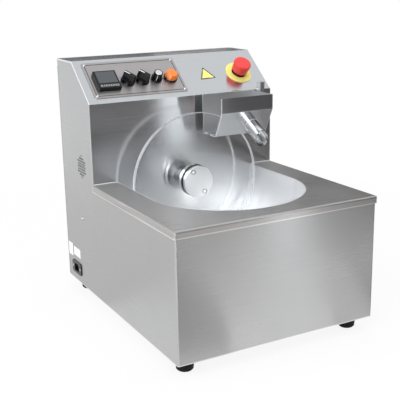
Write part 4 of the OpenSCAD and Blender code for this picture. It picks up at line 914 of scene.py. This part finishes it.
class TANK_OT_inlet(bpy.types.Operator):
    """Mains inlet, the bare labels above it and the electrics inside"""

    bl_idname = "tank.inlet"
    bl_label = "Mains inlet"

    def execute(self, context):
        look, trim, _ = tank(context)
        finish(moulded("inlet_black", scaled(look.black, 1.4), 0.3, 0.42, coat=0.2), "power_inlet")
        finish(moulded("board_green", BOARD_GREEN, 0.35, 0.5), "control_board")
        finish(moulded("terminal_ivory", TERMINAL_IVORY, 0.4, 0.55), "terminal_block")
        low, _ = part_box("body_wrap")
        paper = moulded("label_white", scaled(look.white, 1.12), 0.45, 0.6)
        for name, low_y, high_y, low_z, high_z in LABELS:
            middle = Matrix.Translation((low.x, (low_y + high_y) / 2, (low_z + high_z) / 2))
            shape = bmesh.new()
            bar(shape, (high_z - low_z, high_y - low_y, trim.label_thickness),
                middle @ Matrix.Rotation(-RIGHT_ANGLE, 4, "Y"))
            piece(name, shape, "cabinet", "cabinet_steel", paper, smooth=False)
        return {"FINISHED"}


class TANK_OT_stage(bpy.types.Operator):
    """Camera, floor, flags, cards and soft light"""

    bl_idname = "tank.stage"
    bl_label = "Stage"

    def execute(self, context):
        _, _, stage = tank(context)
        context.scene.view_settings.view_transform = "Standard"
        self.set_camera(context, stage)
        self.set_floor(stage)
        self.set_cloths(stage)
        self.set_world(context, stage)
        self.set_lamps(context)
        return {"FINISHED"}

    def set_camera(self, context, stage):
        """Camera at the photograph's angle."""
        data = bpy.data.cameras.new("camera")
        data.lens = stage.lens
        data.sensor_width = SENSOR_WIDTH
        camera = bpy.data.objects.new("camera", data)
        turn = Matrix.Rotation(stage.azimuth, 4, "Z") @ Matrix.Rotation(RIGHT_ANGLE - stage.elevation, 4, "X")
        camera.matrix_world = Matrix.Translation(stage.camera_place) @ turn @ Matrix.Rotation(stage.roll, 4, "Z")
        context.scene.collection.objects.link(camera)
        context.scene.camera = camera

    def set_floor(self, stage):
        """White floor under the tank."""
        shape = bmesh.new()
        bmesh.ops.create_circle(shape, cap_ends=True, segments=96, radius=FLOOR_RADIUS)
        self.add_stage_object("floor", shape, self.floor_material(stage))

    def set_cloths(self, stage):
        """Flags, cards and light strips that only mirrors and the clear disc show."""
        cloths = {name: self.cloth_material(name, colour) for name, colour in (
            ("flag_dark", stage.flag_dark),
            ("flag_dim", scaled(stage.flag_grey, DIM_SHARE)),
            ("flag_grey", stage.flag_grey),
            ("flag_pale", stage.flag_pale),
            ("card_off_white", scaled(stage.flag_pale, OFF_WHITE_SHARE)),
            ("table_card", stage.card_colour),
            ("strip_light", scaled_up(stage.strip_tint, stage.strip_strength)),
            ("floor_light", scaled_up(WHITE, FLOOR_STRIP_SHARE * stage.strip_strength)),
            ("camera_light", scaled_up(stage.strip_tint, stage.camera_strength)),
        )}
        for name, cloth, radius, low_z, high_z, start, sweep in FLAGS:
            shape = bmesh.new()
            ends = [shape.verts.new((radius, 0.0, height)) for height in (low_z, high_z)]
            edge = shape.edges.new(ends)
            bmesh.ops.rotate(shape, cent=ORIGIN, matrix=Matrix.Rotation(math.radians(start), 3, "Z"), verts=ends)
            bmesh.ops.spin(shape, geom=[*ends, edge], cent=ORIGIN, axis=Z_AXIS, angle=math.radians(sweep), steps=24,
                           use_merge=False)
            self.add_stage_object(name, shape, cloths[cloth], only_mirrored=True)
        for name, cloth, place, size, turn in CARDS:
            shape = bmesh.new()
            bmesh.ops.create_grid(shape, x_segments=2, y_segments=2, size=0.5,
                                  matrix=Matrix.Translation(place) @ Matrix.Rotation(math.radians(turn), 4, "Z")
                                  @ Matrix.Diagonal((*size, 1.0, 1.0)))
            self.add_stage_object(name, shape, cloths[cloth], only_mirrored=True)

    def add_stage_object(self, name, shape, material, only_mirrored=False):
        """Object that isn't part of the tank, and may be hidden from all but mirrors and the clear disc."""
        made = mesh_object(name, shape, material)
        if only_mirrored:
            made.visible_camera = False
            made.visible_diffuse = False
            made.visible_shadow = False

    def floor_material(self, stage):
        """White floor that keeps a soft shadow."""
        material, tree, shader = new_material("floor")
        shader.inputs["Base Color"].default_value = (*stage.floor_colour, 1.0)
        shader.inputs["Roughness"].default_value = FLOOR_ROUGHNESS
        shader.inputs["Specular IOR Level"].default_value = 0.0
        glow = tree.nodes.new("ShaderNodeEmission")
        glow.inputs["Color"].default_value = (*WHITE, 1.0)
        reach = tree.nodes.new("ShaderNodeVectorMath")
        reach.operation = "LENGTH"
        tree.links.new(object_place(tree), reach.inputs[0])
        paler = mapped(tree, reach.outputs["Value"], FLOOR_NEAR, FLOOR_FAR, GLOW_NEAR, GLOW_FAR)
        seen, mirrored = light_path(tree)
        mask = calc(tree, "MAXIMUM", calc(tree, "MULTIPLY", seen, paler),
                    calc(tree, "MULTIPLY", mirrored, GLOW_MIRRORED))
        shown = mixed_shader(tree, mask, shader.outputs["BSDF"], glow.outputs["Emission"])
        output = next(n for n in tree.nodes if n.type == "OUTPUT_MATERIAL")
        tree.links.new(shown, output.inputs["Surface"])
        return material

    def cloth_material(self, name, colour):
        """Plain studio cloth, card or light strip."""
        material, _, shader = new_material(name)
        shader.inputs["Base Color"].default_value = (*BLACK, 1.0)
        shader.inputs["Emission Color"].default_value = (*colour, 1.0)
        shader.inputs["Emission Strength"].default_value = 1.0
        shader.inputs["Specular IOR Level"].default_value = 0.0
        return material

    def set_world(self, context, stage):
        """White background for what is seen directly and in mirrors, and a softer room light."""
        world = bpy.data.worlds.new("studio")
        world.use_nodes = True
        tree = world.node_tree
        tree.nodes.clear()
        room = self.background(tree, WHITE, stage.room_light)
        sky = self.background(tree, stage.sky_colour)
        white = self.background(tree, WHITE)
        seen, mirrored = light_path(tree)
        shown = mixed_shader(tree, seen, mixed_shader(tree, mirrored, room, sky), white)
        output = tree.nodes.new("ShaderNodeOutputWorld")
        tree.links.new(shown, output.inputs["Surface"])
        context.scene.world = world

    def background(self, tree, colour, strength=1.0):
        """Plain shader of the world."""
        node = tree.nodes.new("ShaderNodeBackground")
        node.inputs["Color"].default_value = (*colour, 1.0)
        node.inputs["Strength"].default_value = strength
        return node.outputs["Background"]

    def set_lamps(self, context):
        """Soft boxes over the tank and on both sides, and a narrow one on the bowl's far side."""
        low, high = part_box("bowl")
        aims = {"middle": Vector(MIDDLE), "bowl": Vector((high.x, (low.y + high.y) / 2, high.z))}
        for name, place, aim, size, spread, energy, colour, mirrored in LAMPS:
            data = bpy.data.lights.new(name, "AREA")
            data.size = size
            data.spread = math.radians(spread)
            data.energy = energy
            data.color = colour
            lamp = bpy.data.objects.new(name, data)
            lamp.location = place
            lamp.rotation_euler = (aims[aim] - Vector(place)).to_track_quat("-Z", "Y").to_euler()
            lamp.visible_glossy = mirrored
            context.scene.collection.objects.link(lamp)


class TANK_PT_sidebar(bpy.types.Panel):
    """Lists the steps in the 3D view's sidebar"""

    bl_idname = "TANK_PT_sidebar"
    bl_label = "Chocolate melting tank"
    bl_space_type = "VIEW_3D"
    bl_region_type = "UI"
    bl_category = "Tank"

    def draw(self, context):
        for step in STEPS:
            self.layout.operator(step.bl_idname, text=step.bl_label)
        for group in tank(context):
            box = self.layout.box()
            for label in group.__annotations__:
                box.prop(group, label)


STEPS = (
    TANK_OT_cabinet, TANK_OT_bowl, TANK_OT_wheel, TANK_OT_trough, TANK_OT_panel, TANK_OT_controller, TANK_OT_knobs,
    TANK_OT_lamp_and_stop, TANK_OT_inlet, TANK_OT_stage,
)
CLASSES = (TankFinish, TankTrim, TankStage, *STEPS, TANK_PT_sidebar)


def register():
    """Registers the classes and the scene's values."""
    for cls in CLASSES:
        bpy.utils.register_class(cls)
    bpy.types.Scene.tank_finish = PointerProperty(type=TankFinish)
    bpy.types.Scene.tank_trim = PointerProperty(type=TankTrim)
    bpy.types.Scene.tank_stage = PointerProperty(type=TankStage)


def unregister():
    """Removes what register added."""
    del bpy.types.Scene.tank_stage, bpy.types.Scene.tank_trim, bpy.types.Scene.tank_finish
    for cls in reversed(CLASSES):
        bpy.utils.unregister_class(cls)


def main():
    """Builds the looks step by step."""
    register()
    bpy.ops.tank.cabinet()
    bpy.ops.tank.bowl()
    bpy.ops.tank.wheel()
    bpy.ops.tank.trough()
    bpy.ops.tank.panel()
    bpy.ops.tank.controller()
    bpy.ops.tank.knobs()
    bpy.ops.tank.lamp_and_stop()
    bpy.ops.tank.inlet()
    bpy.ops.tank.stage()


if __name__ == "__main__":
    main()
